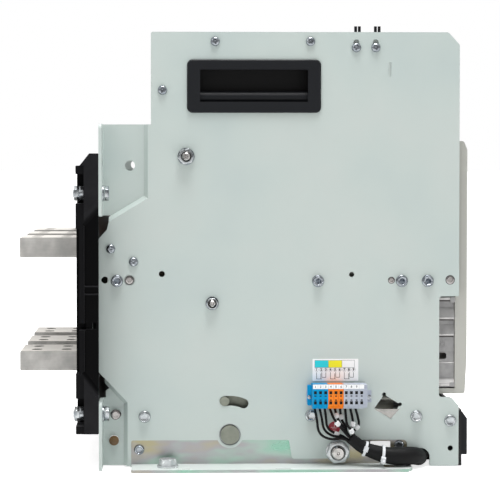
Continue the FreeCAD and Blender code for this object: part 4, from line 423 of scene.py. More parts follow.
def painted_dish_shade():
    # bottom of a cold-headed dish: darker and bluish as painted shade, with uneven roughness
    material, tree, shader, place = start_material("painted_dish_shade")
    patch = add(tree, "TexNoise", {"Vector": place, "Scale": per_m(2.4), "Detail": 2.0})
    colour = add(tree, "ValToRGB", {"Fac": patch}, [(0.35, "#3E454F"), (0.65, "#858D96")])
    rough = add(tree, "MapRange", {"Value": patch, **MOSTLY, "To Min": 0.2, "To Max": 0.34})
    feed(tree, shader, {"Base Color": colour, "Metallic": 1.0, "Roughness": rough})
    return material


def painted_hole_shade():
    # nearly black, half matt: painted shade down in holes and gaps
    return moulding("painted_hole_shade", "#0A0B0D", "#1C1A1A", 0.45, 0.6, 0.02, 0.2)


def screen_glass():
    # hardened window of the display: nearly black, polished
    material, tree, shader, place = start_material("screen_glass")
    smear = add(tree, "TexNoise", {"Vector": place, "Scale": per_m(14.0), "Detail": 2.0})
    rough = add(tree, "MapRange", {"Value": smear, **MOSTLY, "To Min": 0.05, "To Max": 0.09})
    feed(tree, shader, {"Base Color": hex_colour("#0B1013"), "Roughness": rough, "IOR": 1.52})
    return material


def lamp_lens(name, code):
    # small dyed acrylic lens over an unlit diode
    material, tree, shader, _ = start_material(name)
    feed(tree, shader, {"Base Color": hex_colour(code), "Roughness": 0.15, "IOR": 1.49, "Coat Weight": 0.4})
    return material


def clear_window():
    # clear polycarbonate pane, slightly hazy
    material, tree, shader, place = start_material("clear_window")
    haze = add(tree, "TexNoise", {"Vector": place, "Scale": per_m(8.0), "Detail": 2.0})
    rough = add(tree, "MapRange", {"Value": haze, **MOSTLY, "To Min": 0.03, "To Max": 0.07})
    feed(tree, shader, {"Base Color": hex_colour("#F4F8F7"), "Roughness": rough, "Transmission Weight": 0.95,
                        "IOR": 1.58})
    return material


finish = {name: moulding(name, *look) for name, look in MOULDINGS.items()}
for make in (plate_paint, zinc, bright_zinc, steel, tinned_copper, copper, die_cast, cable, white_nylon, label_film,
             winding, brass_nut):
    finish[make.__name__] = make()
PALE_ZINC = bright_zinc("pale_zinc", "#BABEC0", "#D6D9DA", 0.55)
CARD_WHITE = ink("card_white", "#FAFBFC")
OWN_FINISH = {"racking_shaft": shaft_steel(), "handle_cups": cup_plastic(), "foot_brackets": foot_zinc(),
              "foot_bolts": PALE_ZINC, "rear_base": base_mould()}


def dress_nodes():
    for part in frame["record"]["subparts"]:
        mesh = frame["nodes"][part["node"]].data
        mesh.materials.clear()
        mesh.materials.append(OWN_FINISH.get(part["node"]) or finish[part["material_slot"]])


# making pieces

ALONG_X = (0, math.pi / 2, 0)
ALONG_Y = (math.pi / 2, 0, 0)


def deselect():
    bpy.ops.object.select_all(action="DESELECT")


def apply_place():
    bpy.ops.object.transform_apply(location=True, rotation=True, scale=True)


def moved(x, y, z):
    return Matrix.Translation(Vector((x, y, z)) * MM)


def pick_faces(test):
    # opens edit mode with the faces selected whose normals pass the test
    bpy.ops.object.mode_set(mode="EDIT")
    bpy.ops.mesh.select_mode(type="FACE")
    bpy.ops.mesh.select_all(action="DESELECT")
    bpy.ops.object.mode_set(mode="OBJECT")
    for face in bpy.context.object.data.polygons:
        face.select = test(face.normal)
    bpy.ops.object.mode_set(mode="EDIT")


def dished(test, wide, crown, deep):
    # sets a rim of the width wide in the faces whose normals pass the test, and sinks the crown inside it
    pick_faces(test)
    bpy.ops.mesh.inset(thickness=wide * MM)
    bpy.ops.mesh.inset(thickness=crown * MM, depth=-deep * MM)
    bpy.ops.object.mode_set(mode="OBJECT")


def joined(pieces):
    deselect()
    for piece in pieces:
        piece.select_set(True)
    bpy.context.view_layer.objects.active = pieces[0]
    bpy.ops.object.join()
    return pieces[0]


def copies(places):
    # the active object becomes one joined piece with a copy of its mesh at each matrix of places
    first = bpy.context.object
    made = []
    for place in places:
        twin = first.copy()
        twin.data = first.data.copy()
        twin.data.transform(place)
        bpy.context.scene.collection.objects.link(twin)
        made.append(twin)
    bpy.data.objects.remove(first)
    return joined(made)


def settle(name, slot, body, material=None):
    # the active new object becomes a finished piece with its place in its mesh
    piece = bpy.context.object
    piece.name = name
    apply_place()
    piece.data.materials.clear()
    piece.data.materials.append(material or finish[slot])
    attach(piece, body)
    deselect()
    return piece


def bevelled(width_mm, segments=2):
    piece = bpy.context.object
    apply_place()
    edge = piece.modifiers.new("edge", "BEVEL")
    edge.width = width_mm * MM
    edge.segments = segments
    edge.limit_method = "ANGLE"
    bpy.ops.object.modifier_apply(modifier="edge")
    return piece


def brick(low, high):
    # low and high are corners in millimetres
    low, high = Vector(low) * MM, Vector(high) * MM
    bpy.ops.mesh.primitive_cube_add(size=1, location=(low + high) / 2, scale=high - low)
    apply_place()
    return bpy.context.object


def hexagon(across, low, high):
    # six-sided body on the Z axis, its size taken across the flats
    bpy.ops.mesh.primitive_cylinder_add(vertices=6, radius=across / math.sqrt(3) * MM, depth=(high - low) * MM,
                                        location=(0, 0, (low + high) / 2 * MM))
    apply_place()


def figure(name, text, y, z, tall, face, material, bold=0.09):
    # generic number facing -X, centred on y, z
    deselect()
    bpy.ops.object.text_add()
    words = bpy.context.object
    words.data.body = text
    words.data.align_x = "CENTER"
    words.data.align_y = "CENTER"
    words.data.size = tall * 1.4 * MM
    words.data.extrude = 0.02 * MM
    words.data.offset = bold * MM
    words.data.resolution_u = 3
    bpy.ops.object.convert(target="MESH")
    turn = Matrix(((0, 0, -1), (-1, 0, 0), (0, 1, 0))).to_4x4()
    bpy.context.object.matrix_world = moved(face, y, z) @ turn
    settle(name, "label_film", "cassette", material)


def printed_line(y0, y1, z0, z1, wide):
    # straight stroke of ink on the function label, from the lower height to the higher one
    half = wide / 2
    return brick((FILM_FACE - 0.05, min(y0, y1) - half, z0 - half), (FILM_FACE, max(y0, y1) + half, z1 + half))


def ring_band(radius, wall, thick, place, turn):
    # flat ring with the given wall, its axis turned from Z by the angles of turn
    deselect()
    bpy.ops.mesh.primitive_cylinder_add(vertices=32, radius=radius * MM, depth=thick * MM, end_fill_type="NOTHING",
                                        location=Vector(place) * MM, rotation=turn)
    apply_place()
    ring = bpy.context.object.modifiers.new("ring", "SOLIDIFY")
    ring.thickness = wall * MM
    ring.offset = -1
    bpy.ops.object.modifier_apply(modifier="ring")
    return bpy.context.object


def label_fields():
    # two coloured fields and a blank one, each in its frame, the last frame 1 mm short of its field
    for i, code in enumerate(("#16D3DE", "#F2EE16")):
        y = FIELDS_FROM - i * FIELD_WIDE
        brick((FILM_FACE - 0.04, y - FIELD_WIDE, 99.9), (FILM_FACE, y, 106.9))
        bevelled(0.01, 1)
        settle(f"label_field_{i + 1}", "label_film", "cassette", ink(f"ink_field_{i + 1}", code))
    strokes = []
    for i, short in enumerate((0.0, 0.0, 1.0)):
        y0 = FIELDS_FROM - i * FIELD_WIDE
        y1 = y0 - FIELD_WIDE + short
        for ends in ((y0, y1, 99.8, 99.8), (y0, y1, 107.0, 107.0), (y0, y0, 99.8, 107.0), (y1, y1, 99.8, 107.0)):
            strokes.append(printed_line(*ends, 0.28))
    joined(strokes)
    settle("label_frames", "label_film", "cassette", ink("ink_frame", "#5A6064"))


def function_label():
    label_fields()
    black = ink("ink_black", "#2A2C2E")
    columns = [COLUMN_FIRST - COLUMN_PITCH * i for i in range(WIRES)]
    joined([ring_band(1.9, 0.26, 0.05, (FILM_FACE - 0.03, y, FIGURES_Z), ALONG_X) for y in columns])
    settle("label_rings", "label_film", "cassette", ink("ink_ring", "#9AA0A4"))
    for i, y in enumerate(columns):
        figure(f"label_number_{i + 1}", str(i + 1), y, FIGURES_Z, 2.3, FILM_FACE - 0.05, black, 0.17)
    strokes = []
    for group in range(3):
        a, b, c = columns[3 * group:3 * group + 3]
        for ends in ((a, a, 88.4, 94.8), (a, b - 0.6, 88.4, 88.4), (b + 0.4, b + 0.4, 88.4, 93.6),
                     (b - 0.6, b - 0.6, 90.0, 94.8), (b - 0.6, c, 90.0, 90.0), (c, c, 90.0, 94.8)):
            strokes.append(printed_line(*ends, 0.45))
    joined(strokes)
    settle("label_diagram", "label_film", "cassette", black)
    faint = ink("ink_faint", "#6C7276")
    for i in range(WIRES):
        y = BLOCK_FIRST - i * BLOCK_PITCH
        figure(f"strip_number_{i + 1}", str(i + 1), y, STRIP_Z, 2.2, BLOCK_FACE + 0.05, faint)


# wires and sleeve: points of the routes in millimetres, as the part has them, and the sleeve's radius at each

SLEEVE = [
    (-170.0, -71.5, 31.3, 5.6), (-170.5, -79.0, 24.8, 5.9), (-171.0, -86.8, 20.4, 6.3), (-171.5, -95.8, 17.3, 7.3),
    (-172.0, -104.7, 14.6, 8.0), (-172.0, -116.6, 13.0, 8.9), (-170.0, -127.0, 12.8, 9.2), (-164.5, -136.5, 12.3, 8.8),
    (-156.0, -141.8, 9.7, 8.7), (-148.0, -142.5, 9.6, 8.5), (-136.0, -142.0, 12.0, 7.8), (-120.0, -139.0, 16.0, 7.2),
]
SLEEVE_R = 8.0
WIRE_R = 1.25
WIRE_START = -168.0
WIRE_START_Z = 60.7
WIRE_WAYS = [
    [(-37.9, 52.0), (-39.0, 36.5), (-51.5, 29.8)],
    [(-43.2, 51.0), (-44.6, 39.5), (-54.0, 32.8)],
    [(-47.6, 52.0), (-48.4, 40.5), (-57.5, 34.8)],
    [(-53.5, 53.0), (-57.0, 48.0), (-63.0, 40.5)],
    [(-57.6, 53.5), (-60.2, 47.5), (-65.5, 41.5)],
    [(-62.3, 53.0), (-63.6, 47.5), (-67.5, 42.8)],
    [(-66.8, 52.0), (-67.2, 45.5), (-72.8, 38.8)],
    [(-73.2, 53.0), (-74.4, 45.5), (-71.8, 40.0)],
    [(-79.4, 52.0), (-81.0, 43.5), (-75.0, 38.2)],
]
# pitch of the wires' grid, and how far they fan and bulge at their three way points
GRID_PITCH = 2.75
FAN = (1.5, 1.7, 1.2)
BULGE = (2.5, 4.0, 3.0)


def mouth(across, deep, back):
    # point of the wire grid at the sleeve's mouth, back mm before it
    a, b = Vector(SLEEVE[0][:3]), Vector(SLEEVE[1][:3])
    way = (b - a).normalized()
    side = Vector((1, 0, 0))
    up = way.cross(side)
    if up.z < 0:
        up = -up
    return tuple(a + side * deep + up * across - way * back)


def wire_points(i):
    deep = (i % 3 - 1) * GRID_PITCH
    across = (i // 3 - 1) * GRID_PITCH
    points = [(WIRE_START, BLOCK_FIRST - i * BLOCK_PITCH, WIRE_START_Z)]
    for (y, z), fan, bulge in zip(WIRE_WAYS[i], FAN, BULGE):
        points.append((WIRE_START + deep * fan - bulge, y, z))
    points.append(mouth(across, deep, -2.0 if i > 5 else 4.5))
    points.append(mouth(across * 0.9, deep * 0.9, -9.0))
    return points


def route_curve(name, points, radius_mm, radii=None):
    data = bpy.data.curves.new(name, "CURVE")
    data.dimensions = "3D"
    spline = data.splines.new("NURBS")
    spline.points.add(len(points) - 1)
    for i, p in enumerate(points):
        spline.points[i].co = (*(Vector(p[:3]) * MM), 1.0)
        spline.points[i].radius = radii[i] / radius_mm if radii else 1.0
    spline.order_u = 3
    spline.use_endpoint_u = True
    data.resolution_u = 12
    data.bevel_depth = radius_mm * MM
    data.bevel_resolution = 4
    data.use_fill_caps = True
    piece = bpy.data.objects.new(name, data)
    bpy.context.scene.collection.objects.link(piece)
    return piece


def centreline(piece):
    # points of the smooth line that a route's spline draws
    copy = piece.copy()
    copy.data = piece.data.copy()
    copy.data.bevel_depth = 0.0
    mesh = bpy.data.meshes.new_from_object(copy)
    points = [v.co.copy() for v in mesh.vertices]
    bpy.data.meshes.remove(mesh)
    bpy.data.objects.remove(copy)
    return points


def wires():
    made = []
    for i in range(WIRES):
        piece = route_curve(f"wire_{i + 1}", wire_points(i), WIRE_R)
        piece.data.materials.append(finish["cable"])
        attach(piece, "cassette")
        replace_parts(piece, "block_wires")
        made.append((piece, centreline(piece)))
    return made


def marker_on(name, line, at_z, long, radius):
    # printed tube pushed over a wire, its middle at the height at_z: hollow ends, and ribs proud of its long sides
    near = min(range(1, len(line) - 1), key=lambda k: abs(line[k].z - at_z * MM))
    way = (line[near + 1] - line[near - 1]).normalized()
    deselect()
    turn = way.to_track_quat("Z", "Y").to_euler()
    bpy.ops.mesh.primitive_cylinder_add(vertices=20, radius=radius * MM, depth=long * MM, location=line[near],
                                        rotation=turn)
    bpy.ops.object.mode_set(mode="EDIT")
    bpy.ops.mesh.select_all(action="SELECT")
    bpy.ops.mesh.inset(thickness=(radius - WIRE_R - 0.1) * MM, use_individual=True)
    bpy.ops.mesh.extrude_region_shrink_fatten(TRANSFORM_OT_shrink_fatten={"value": -0.6 * MM})
    bpy.ops.object.mode_set(mode="OBJECT")
    bevelled(0.15, 1)
    piece = settle(name, "white_nylon", "cassette", CARD_WHITE)
    piece.data.shade_smooth()
    return piece


# height of the marker on each wire that has one, the wires counted from 0
MARKERS = {2: 35.0, 3: 46.3, 4: 53.2, 5: 51.8, 6: 38.6, 7: 45.5, 8: 41.5}


def wire_markers(made):
    for i, (piece, line) in enumerate(made):
        tags = [marker_on(f"wire_marker_{i + 1}_1", line, MARKERS[i], 5.2, 1.9)] if i in MARKERS else []


def wire_sleeve():
    # soft sleeve over the nine wires, open at its mouth and creased where the ties pull it in
    guide = route_curve("sleeve_guide", [s[:3] for s in SLEEVE], SLEEVE_R, [s[3] for s in SLEEVE])
    line = centreline(guide)
    guide.data.use_fill_caps = False
    guide.data.bevel_resolution = 10
    guide.data.resolution_u = 10
    mesh = bpy.data.meshes.new_from_object(guide)
    bpy.data.objects.remove(guide)
    piece = bpy.data.objects.new("sleeve", mesh)
    bpy.context.scene.collection.objects.link(piece)
    for v in mesh.vertices:
        near = min(line, key=lambda p: (p - v.co).length)
        out = (v.co - near).normalized()
        turn = math.atan2(out.z, out.x)
        fold = math.sin(5 * turn + 90 * v.co.y) + 0.6 * math.sin(9 * turn - 210 * v.co.y)
        v.co += out * 0.16 * MM * fold
    mesh.materials.append(finish["cable"])
    deselect()
    bpy.context.view_layer.objects.active = piece
    piece.select_set(True)
    wall = piece.modifiers.new("wall", "SOLIDIFY")
    wall.thickness = 0.8 * MM
    wall.offset = -1
    bpy.ops.object.modifier_apply(modifier="wall")
    mesh.shade_smooth()
    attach(piece, "cassette")
    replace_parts(piece, "wire_sleeve")
    deselect()


# fasteners of the side plates, and the small parts of the terminal blocks: places are y, z in millimetres

GUIDE_BOLTS = [(160.5, 187.0), (-40.5, 186.5), (-124.5, 186.5), (-150.5, 186.5)]
BASE_BOLTS = [(133.0, 51.0), (-33.5, 51.5)]
FRONT_BOLTS = [(-139.5, 50.5), (-173.5, 46.0)]
PAN_SCREWS = [(62.5, 425.5), (-32.5, 425.5), (115.0, 377.0), (166.7, 219.0), (144.0, 206.0), (-78.3, 419.6),
              (-97.7, 419.6)]
NUTS_BEHIND = [(166.7, 219.0), (144.0, 206.0)]
LEAF_SCREWS = [(138.5, 17.5), (-122.5, 21.0)]
REAR_PLUG = (163.7, 26.7)
EARTH_STUD = (-60.0, 15.3)
EARTH_MARK = (-57.0, 39.5)
FLANGE_BOLT_X = 168.0
FLANGE_FACE = 192.0
FLANGE_BOLT_Z = (274.7, 56.0)
HEAD_DISH = 0.8

# place, nut and stud, lower end of the stud's shank, body behind the plate, turn in degrees
PLATE_STUDS = [
    ((91.5, 311.0), (14.5, 1.8, 8.3, 8.5, 3.9, 9.4), -9.5, (9.0, -12.5, -3.0, 0.4), 12),
    ((65.5, 164.5), (10.5, 1.2, 6.4, 6.6, 3.1, 7.0), -3.0, (5.5, -4.4, -3.0, 0.3), 5),
]

# place and radius of each swaged rivet
RIVETS = [(-114.0, 187.2, 3.5), (-173.0, 187.5, 4.7), (148.0, 187.7, 4.2), (162.1, 53.2, 5.0)]

# lower and upper edge of each lip of the frame, and how far out it stands
LIPS = [(79.6, 81.9, 145.9), (130.5, 132.2, 145.1), (147.3, 149.1, 145.9), (166.6, 169.1, 145.9)]


def drum(radius, low, high, edge, top=None, sides=32):
    # bevelled round or many-sided body standing on the height low, narrowing to the radius top
    bpy.ops.mesh.primitive_cone_add(vertices=sides, radius1=radius * MM, radius2=(top or radius) * MM,
                                    depth=(high - low) * MM, location=(0, 0, (low + high) / 2 * MM))
    return bevelled(edge, 2)


def cut_away(piece, cutters):
    for cutter in cutters:
        step = piece.modifiers.new("cut", "BOOLEAN")
        step.operation = "DIFFERENCE"
        step.solver = "EXACT"
        step.object = cutter
        deselect()
        piece.select_set(True)
        bpy.context.view_layer.objects.active = piece
        bpy.ops.object.modifier_apply(modifier="cut")
        bpy.data.objects.remove(cutter)


def smooth_by_angle():
    bpy.context.object.data.shade_smooth()
    bpy.ops.object.shade_smooth_by_angle(angle=math.radians(35))


def united(pieces, places):
    # the pieces as one smooth-shaded piece, copied to the places
    joined(pieces)
    smooth_by_angle()
    return copies(places)


def cold_headed_bolt(across, tall, skirt, shank, shank_r):
    # flange bolt at the origin with its head up: round skirt, six flats with cut corners, dished crown
    deselect()
    corner = across / math.sqrt(3)
    hexagon(across, 0.8, tall)
    dished(lambda normal: normal.z > 0.9, corner * 0.16, corner * 0.15, HEAD_DISH)
    head = bevelled(0.42, 3)
    joined([head, drum(skirt, 0, 1.5, 0.35, skirt * 0.84), drum(shank_r, -shank, 0.5, 0.5)])
    smooth_by_angle()


def stud_with_nut(across, low, high, flange, bore, end):
    # nut with countersunk mouths on a washer or flange, and the threaded end of its stud with a centre mark
    deselect()
    hexagon(across, low, high)
    nut = bevelled(0.55, 3)
    cut_away(nut, [drum(bore + 0.1, low - 1, high + 1, 0.01), drum(bore, high - 1.5, high + 0.4, 0.01, bore + 1.9)])
    washer = drum(flange, 0, low + 0.1, 0.35)
    cut_away(washer, [drum(bore + 0.1, -1, low + 1, 0.01)])
    root = bore - 0.5
    bpy.ops.mesh.primitive_circle_add(vertices=32, radius=root * MM, fill_type="NGON")
    bpy.ops.object.mode_set(mode="EDIT")
    turns = int(end)
    for k in range(turns * 2):
        bpy.ops.mesh.extrude_region_move(TRANSFORM_OT_translate={"value": (0, 0, end / turns / 2 * MM)})
        size = root / bore if k % 2 else bore / root
        bpy.ops.transform.resize(value=(size, size, 1))
    bpy.ops.mesh.inset(thickness=0.5 * MM, depth=0.45 * MM)
    bpy.ops.mesh.inset(thickness=(bore - 2.6) * MM)
    bpy.ops.mesh.inset(thickness=0.6 * MM, depth=-0.9 * MM)
    bpy.ops.mesh.select_all(action="SELECT")
    bpy.ops.mesh.normals_make_consistent(inside=False)
    bpy.ops.object.mode_set(mode="OBJECT")
    return [nut, washer], bpy.context.object


def recessed_screw(radius, tall, shank):
    # pan head with a cross recess, its shank behind the plate
    deselect()
    head = drum(radius, 0, tall, radius * 0.28, radius * 0.74)
    arms = []
    for turn in (0, math.pi / 2):
        bpy.ops.mesh.primitive_cube_add(size=1, location=(0, 0, tall * MM), rotation=(0, 0, turn),
                                        scale=(radius * 1.1 * MM, radius * 0.3 * MM, tall * 1.3 * MM))
        apply_place()
        arms.append(bpy.context.object)
    cut_away(head, arms + [drum(radius * 0.2, tall * 0.3, tall + 0.5, 0.01, radius * 0.36)])
    joined([head, drum(2.5, -shank, 0.3, 0.3)])
    smooth_by_angle()


def slotted_screw(radius, tall):
    # cheese head at the origin, face up, with a straight slot pressed into it
    deselect()
    bpy.ops.mesh.primitive_cylinder_add(vertices=28, radius=radius * MM, depth=tall * MM,
                                        location=(0, 0, tall / 2 * MM))
    head = bevelled(radius * 0.12, 2)
    bpy.ops.mesh.primitive_cube_add(size=1, location=(0, 0, tall * MM),
                                    scale=(radius * 3 * MM, radius * 0.36 * MM, tall * 1.1 * MM))
    apply_place()
    cut_away(head, [bpy.context.object])
    smooth_by_angle()


def on_plates(spots, out, spin=0.0, step=0.0, flip=1):
    # matrices that lay a piece on both side plates at the y, z places, its own Z outwards
    places = []
    for i, (y, z) in enumerate(spots):
        turn = Matrix.Rotation(math.radians(spin + step * i), 4, "Z")
        for side in (-1, 1):
            lay = Matrix.Rotation(side * flip * math.pi / 2, 4, "Y")
            places.append(moved(-side * out, y, z) @ lay @ turn)
    return places


def side_bolts():
    # paler copy of the bolt zinc for the base and front bolts: painted light
    lit_bolt_zinc = bright_zinc("lower_bolts_lit_zinc", "#A2A7AA", "#C6CACC")
    for name, spots, end, spin, look in (("guide", GUIDE_BOLTS, 150.6, 0, finish["bright_zinc"]),
                                         ("base", BASE_BOLTS, 145.5, 92, lit_bolt_zinc),
                                         ("front", FRONT_BOLTS, 148.5, 138, lit_bolt_zinc)):
        cold_headed_bolt(8.9, 5.4, 6.3, -PLATE - end, 4.0)
        copies(on_plates(spots, PLATE, spin, 23))
        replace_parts(settle(f"{name}_bolt_heads", "bright_zinc", "cassette", look), "side_bolts")
    # dark disc in the dish of each guide bolt: painted shade
    deselect()
    drum(2.9, 4.58, 4.72, 0.05, sides=20)
    copies(on_plates(GUIDE_BOLTS, PLATE))
    settle("guide_bolt_dish_shade", "bright_zinc", "cassette", painted_dish_shade())


def plate_studs():
    nuts, studs, washers = [], [], []
    for spot, sizes, end, behind, spin in PLATE_STUDS:
        places = on_plates([spot], PLATE, spin)
        bore = sizes[4]
        (nut, washer), stud = stud_with_nut(*sizes)
        studs.append(united([stud, drum(bore, end, 0.2, 0.1)], places))
        washers.append(united([washer, drum(*behind)], places))
        nuts.append(united([nut], places))
    joined(studs)
    settle("stud_ends", "bright_zinc", "cassette", bright_zinc("cut_steel", "#A9A6A4", "#D8D5D3"))
    # washers in a darker zinc: painted shade that outlines the nuts
    joined(washers)
    settle("stud_washers", "bright_zinc", "cassette", bright_zinc("washer_shade_zinc", "#5E6469", "#8C9297"))
    joined(nuts)
    nut_zinc = bright_zinc("nut_zinc", "#A2A7AA", "#C6CACC")
    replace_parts(settle("stud_nuts", "bright_zinc", "cassette", nut_zinc), "plate_studs")


def plate_screws():
    # pan heads, the small flange bolts of the leaves and the nuts behind the plate
    recessed_screw(5.2, 3.4, 6.5)
    groups = [copies(on_plates(PAN_SCREWS, PLATE, 10, 31))]
    cold_headed_bolt(8.2, 3.8, 5.4, 7.5, 3.0)
    groups.append(copies(on_plates(LEAF_SCREWS, PLATE_BACK, 10, 25)))
    deselect()
    hexagon(8, 0, 3.4)
    bevelled(0.4, 2)
    groups.append(copies(on_plates(NUTS_BEHIND, PLATE_BACK, flip=-1)))
    joined(groups)
    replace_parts(settle("plate_screw_heads", "bright_zinc", "cassette"), "plate_screws")


def earth_screw():
    # thick nut on the earth stud beside the foot, with its head behind the plate
    parts, stud = stud_with_nut(20.4, 0.9, 8.6, 11.7, 6.3, 12.6)
    lay = moved(PLATE, *EARTH_STUD) @ Matrix.Rotation(-math.pi / 2, 4, "Y")
    united([stud, drum(5.9, -9.0, 0.2, 0.2)], [lay])
    settle("earth_stud", "bright_zinc", "cassette", bright_zinc("turned_steel", "#A3A09D", "#CFCCC9"))
    deselect()
    hexagon(18, -13.8, -8.8)
    united(parts + [bevelled(0.6, 2)], [lay @ Matrix.Rotation(math.radians(8), 4, "Z")])
    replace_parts(settle("earth_nut", "bright_zinc", "cassette", PALE_ZINC), "earth_bolt")


def flange_fasteners():
    # bolts of the rear flanges: washer and head in front, two washers, nut and thread end behind
    deselect()
    parts, stud = stud_with_nut(13.0, 4.8, 10.3, 7.2, 4.3, 10.9)
    parts += [stud, drum(6.8, 2.6, 4.7, 0.3), drum(4.2, -18.0, 0.2, 0.1)]
    hexagon(13, -24.1, -18.7)
    dished(lambda normal: normal.z < -0.9, 1.2, 1.1, HEAD_DISH)
    parts.append(bevelled(0.5, 2))
    lay = Matrix.Rotation(-math.pi / 2, 4, "X")
    places = [moved(side * FLANGE_BOLT_X, FLANGE_FACE, z) @ lay for side in (-1, 1) for z in FLANGE_BOLT_Z]
    united(parts + [drum(8.0, -18.7, -17.5, 0.2)], places)
    flange_zinc = bright_zinc("flange_zinc", "#8F959A", "#D2D6D8", 0.9)
    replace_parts(settle("flange_bolt_sets", "bright_zinc", "cassette", flange_zinc), "flange_bolts")


def notch_edges():
    # lips of the die-cast frame, bright partly from wear and partly as painted highlight, with a strip of painted
    # shadow under each of the upper three
    front, rear = -178.6, -158.3
    lips, lines = [], []
    for side in (-1, 1):
        for low, high, out in LIPS:
            x0, x1 = sorted((side * (out - 1.2), side * out))
            brick((x0, front, low), (x1, rear, high))
            lips.append(bevelled(0.35, 2))
            # dark strip under the lip: painted shadow
            if low > 100:
                x0, x1 = sorted((side * 142.0, side * 143.4))
                brick((x0, front, low - 1.7), (x1, rear, low - 0.2))
                lines.append(bevelled(0.2, 1))
    joined(lips)
    settle("frame_lips", "die_cast", "breaker", bright_zinc("lit_and_worn_aluminium", "#C9C7C5", "#E4E2E0", 0.3))
    joined(lines)
    painted_shadow = moulding("lip_shadow_paint", "#4A4644", "#5C5856", 0.6, 1.2, 0.03, 0.3)
    settle("frame_lip_shadows", "die_cast", "breaker", painted_shadow)


def window_tongue():
    # bent tongue of the lanced window in each plate, bare metal on its cut face
    for side, name in ((-1, "left"), (1, "right")):
        deselect()
        bpy.ops.mesh.primitive_circle_add(vertices=3, radius=0.01, fill_type="NGON")
        corners = ((-97.4, 57.9), (-122.4, 57.9), (-113.8, 48.3))
        for vertex, (y, z) in zip(bpy.context.object.data.vertices, corners):
            vertex.co = Vector((-side * PLATE, y, z)) * MM
        wall = bpy.context.object.modifiers.new("wall", "SOLIDIFY")
        wall.thickness = 0.16 * MM
        wall.offset = 0
        bpy.ops.object.modifier_apply(modifier="wall")
        bpy.ops.object.mode_set(mode="EDIT")
        bpy.ops.mesh.select_all(action="SELECT")
        bpy.ops.mesh.normals_make_consistent(inside=False)
        bpy.ops.object.mode_set(mode="OBJECT")
        cut_sheet = bright_zinc(f"cut_sheet_{name}", "#9E9C98", "#B8B5B0", 0.4)
        settle(f"window_tongue_{name}", "zinc", "cassette", cut_sheet)


def rear_plug():
    # brown plug pressed into the lower rear hole of each plate, its middle raised
    deselect()
    united([drum(4.97, -4.6, -1.9, 0.4, 4.9), drum(2.5, -2.2, -1.5, 0.3, 2.1)], on_plates([REAR_PLUG], PLATE))
    settle("rear_plugs", "brown_mould", "cassette", moulding("plug_plastic", "#4A3520", "#705530", 0.4, 1.4, 0.03))


def rivet_ends():
    # swaged rivets in their holes: a dark ring of painted shade in the gap round a pale rosy end
    gaps, ends = [], []
    for y, z, radius in RIVETS:
        for side in (-1, 1):
            gaps.append(ring_band(radius, 1.0, 0.5, (side * (-PLATE - 0.15), y, z), ALONG_X))
        deselect()
        drum(radius - 0.95, -0.6, 0.12, 0.25)
        dished(lambda normal: normal.z > 0.9, radius * 0.3, radius * 0.1, 0.25)
        smooth_by_angle()
        ends.append(copies(on_plates([(y, z)], PLATE)))
    joined(gaps)
    settle("rivet_gap_shade", "steel", "cassette", painted_hole_shade())
    joined(ends)
    settle("rivet_ends", "steel", "cassette", bright_zinc("swaged_steel", "#93908E", "#B3AFAD"))


def block_details():
    # dark plates sunk in the wire holes and test slots as painted shade, cards on the marker strip, screws in the ends
    deselect()
    groups = []
    for wide, tall, sunk, rows in ((2.84, 3.14, 0.35, (77.6, 67.6)), (1.96, 1.16, 0.3, (74.3, 70.3))):
        brick((BLOCK_FACE + sunk, -wide / 2, -tall / 2), (BLOCK_FACE + sunk + 0.5, wide / 2, tall / 2))
        dished(lambda normal: normal.x < -0.9, 0.3, 0.12, 0.25)
        groups.append(copies([moved(0, BLOCK_FIRST - i * BLOCK_PITCH, z) for i in range(BLOCKS) for z in rows]))
    joined(groups)
    settle("block_hole_shade", "black_plastic", "cassette", painted_hole_shade())

    brick((BLOCK_FACE + 0.07, -2.45, 81.4), (BLOCK_FACE + 0.25, 2.45, 85.6))
    bevelled(0.06, 1)
    copies([moved(0, BLOCK_FIRST - i * BLOCK_PITCH, 0) for i in range(BLOCKS)])
    settle("strip_cards", "white_nylon", "cassette", CARD_WHITE)

    lay = Matrix.Rotation(-math.pi / 2, 4, "Y") @ Matrix.Rotation(0.6, 4, "Z")
    for name, place, radius in (("front", (-162.9, -31.4, 71.2), 2.1), ("rear", (-159.2, -91.3, 70.5), 2.5)):
        slotted_screw(radius, 1.3)
        copies([moved(*place) @ lay])
        settle(f"ear_screw_{name}", "bright_zinc", "cassette")


def earth_mark():
    # the usual sign on the round label: one upright stroke over three shortening ones
    (y, z), face = EARTH_MARK, FILM_FACE - 0.05
    strokes = []
    for half, z0, z1 in ((0.2, 0.4, 4.2), (3.6, 0.0, 0.4), (2.3, -1.5, -1.1), (1.1, -3.0, -2.6)):
        strokes.append(brick((face - 0.05, y - half, z + z0), (face, y + half, z + z1)))
    joined(strokes)
    settle("earth_mark", "label_film", "cassette", ink("ink_white", "#E4CFCF"))


# operating side of the breaker

def bar(a, b, wide, face, thick=0.06):
    # printed stroke between two points (x, z) of the front, standing thick mm proud of face
    deselect()
    a, b = Vector(a), Vector(b)
    mid = (a + b) / 2
    turn = math.atan2(b.y - a.y, b.x - a.x)
    bpy.ops.mesh.primitive_cube_add(size=1, location=Vector((mid.x, face - thick / 2, mid.y)) * MM,
                                    rotation=(0, -turn, 0),
                                    scale=(((b - a).length + wide) * MM, thick * MM, wide * MM))
    return bevelled(0.012, 1)


def front_field(name, x0, x1, z0, z1, face, body, slot, material, thick=0.05):
    brick((x0, face - thick, z0), (x1, face, z1))
    bevelled(0.02, 1)
    settle(name, slot, body, material)


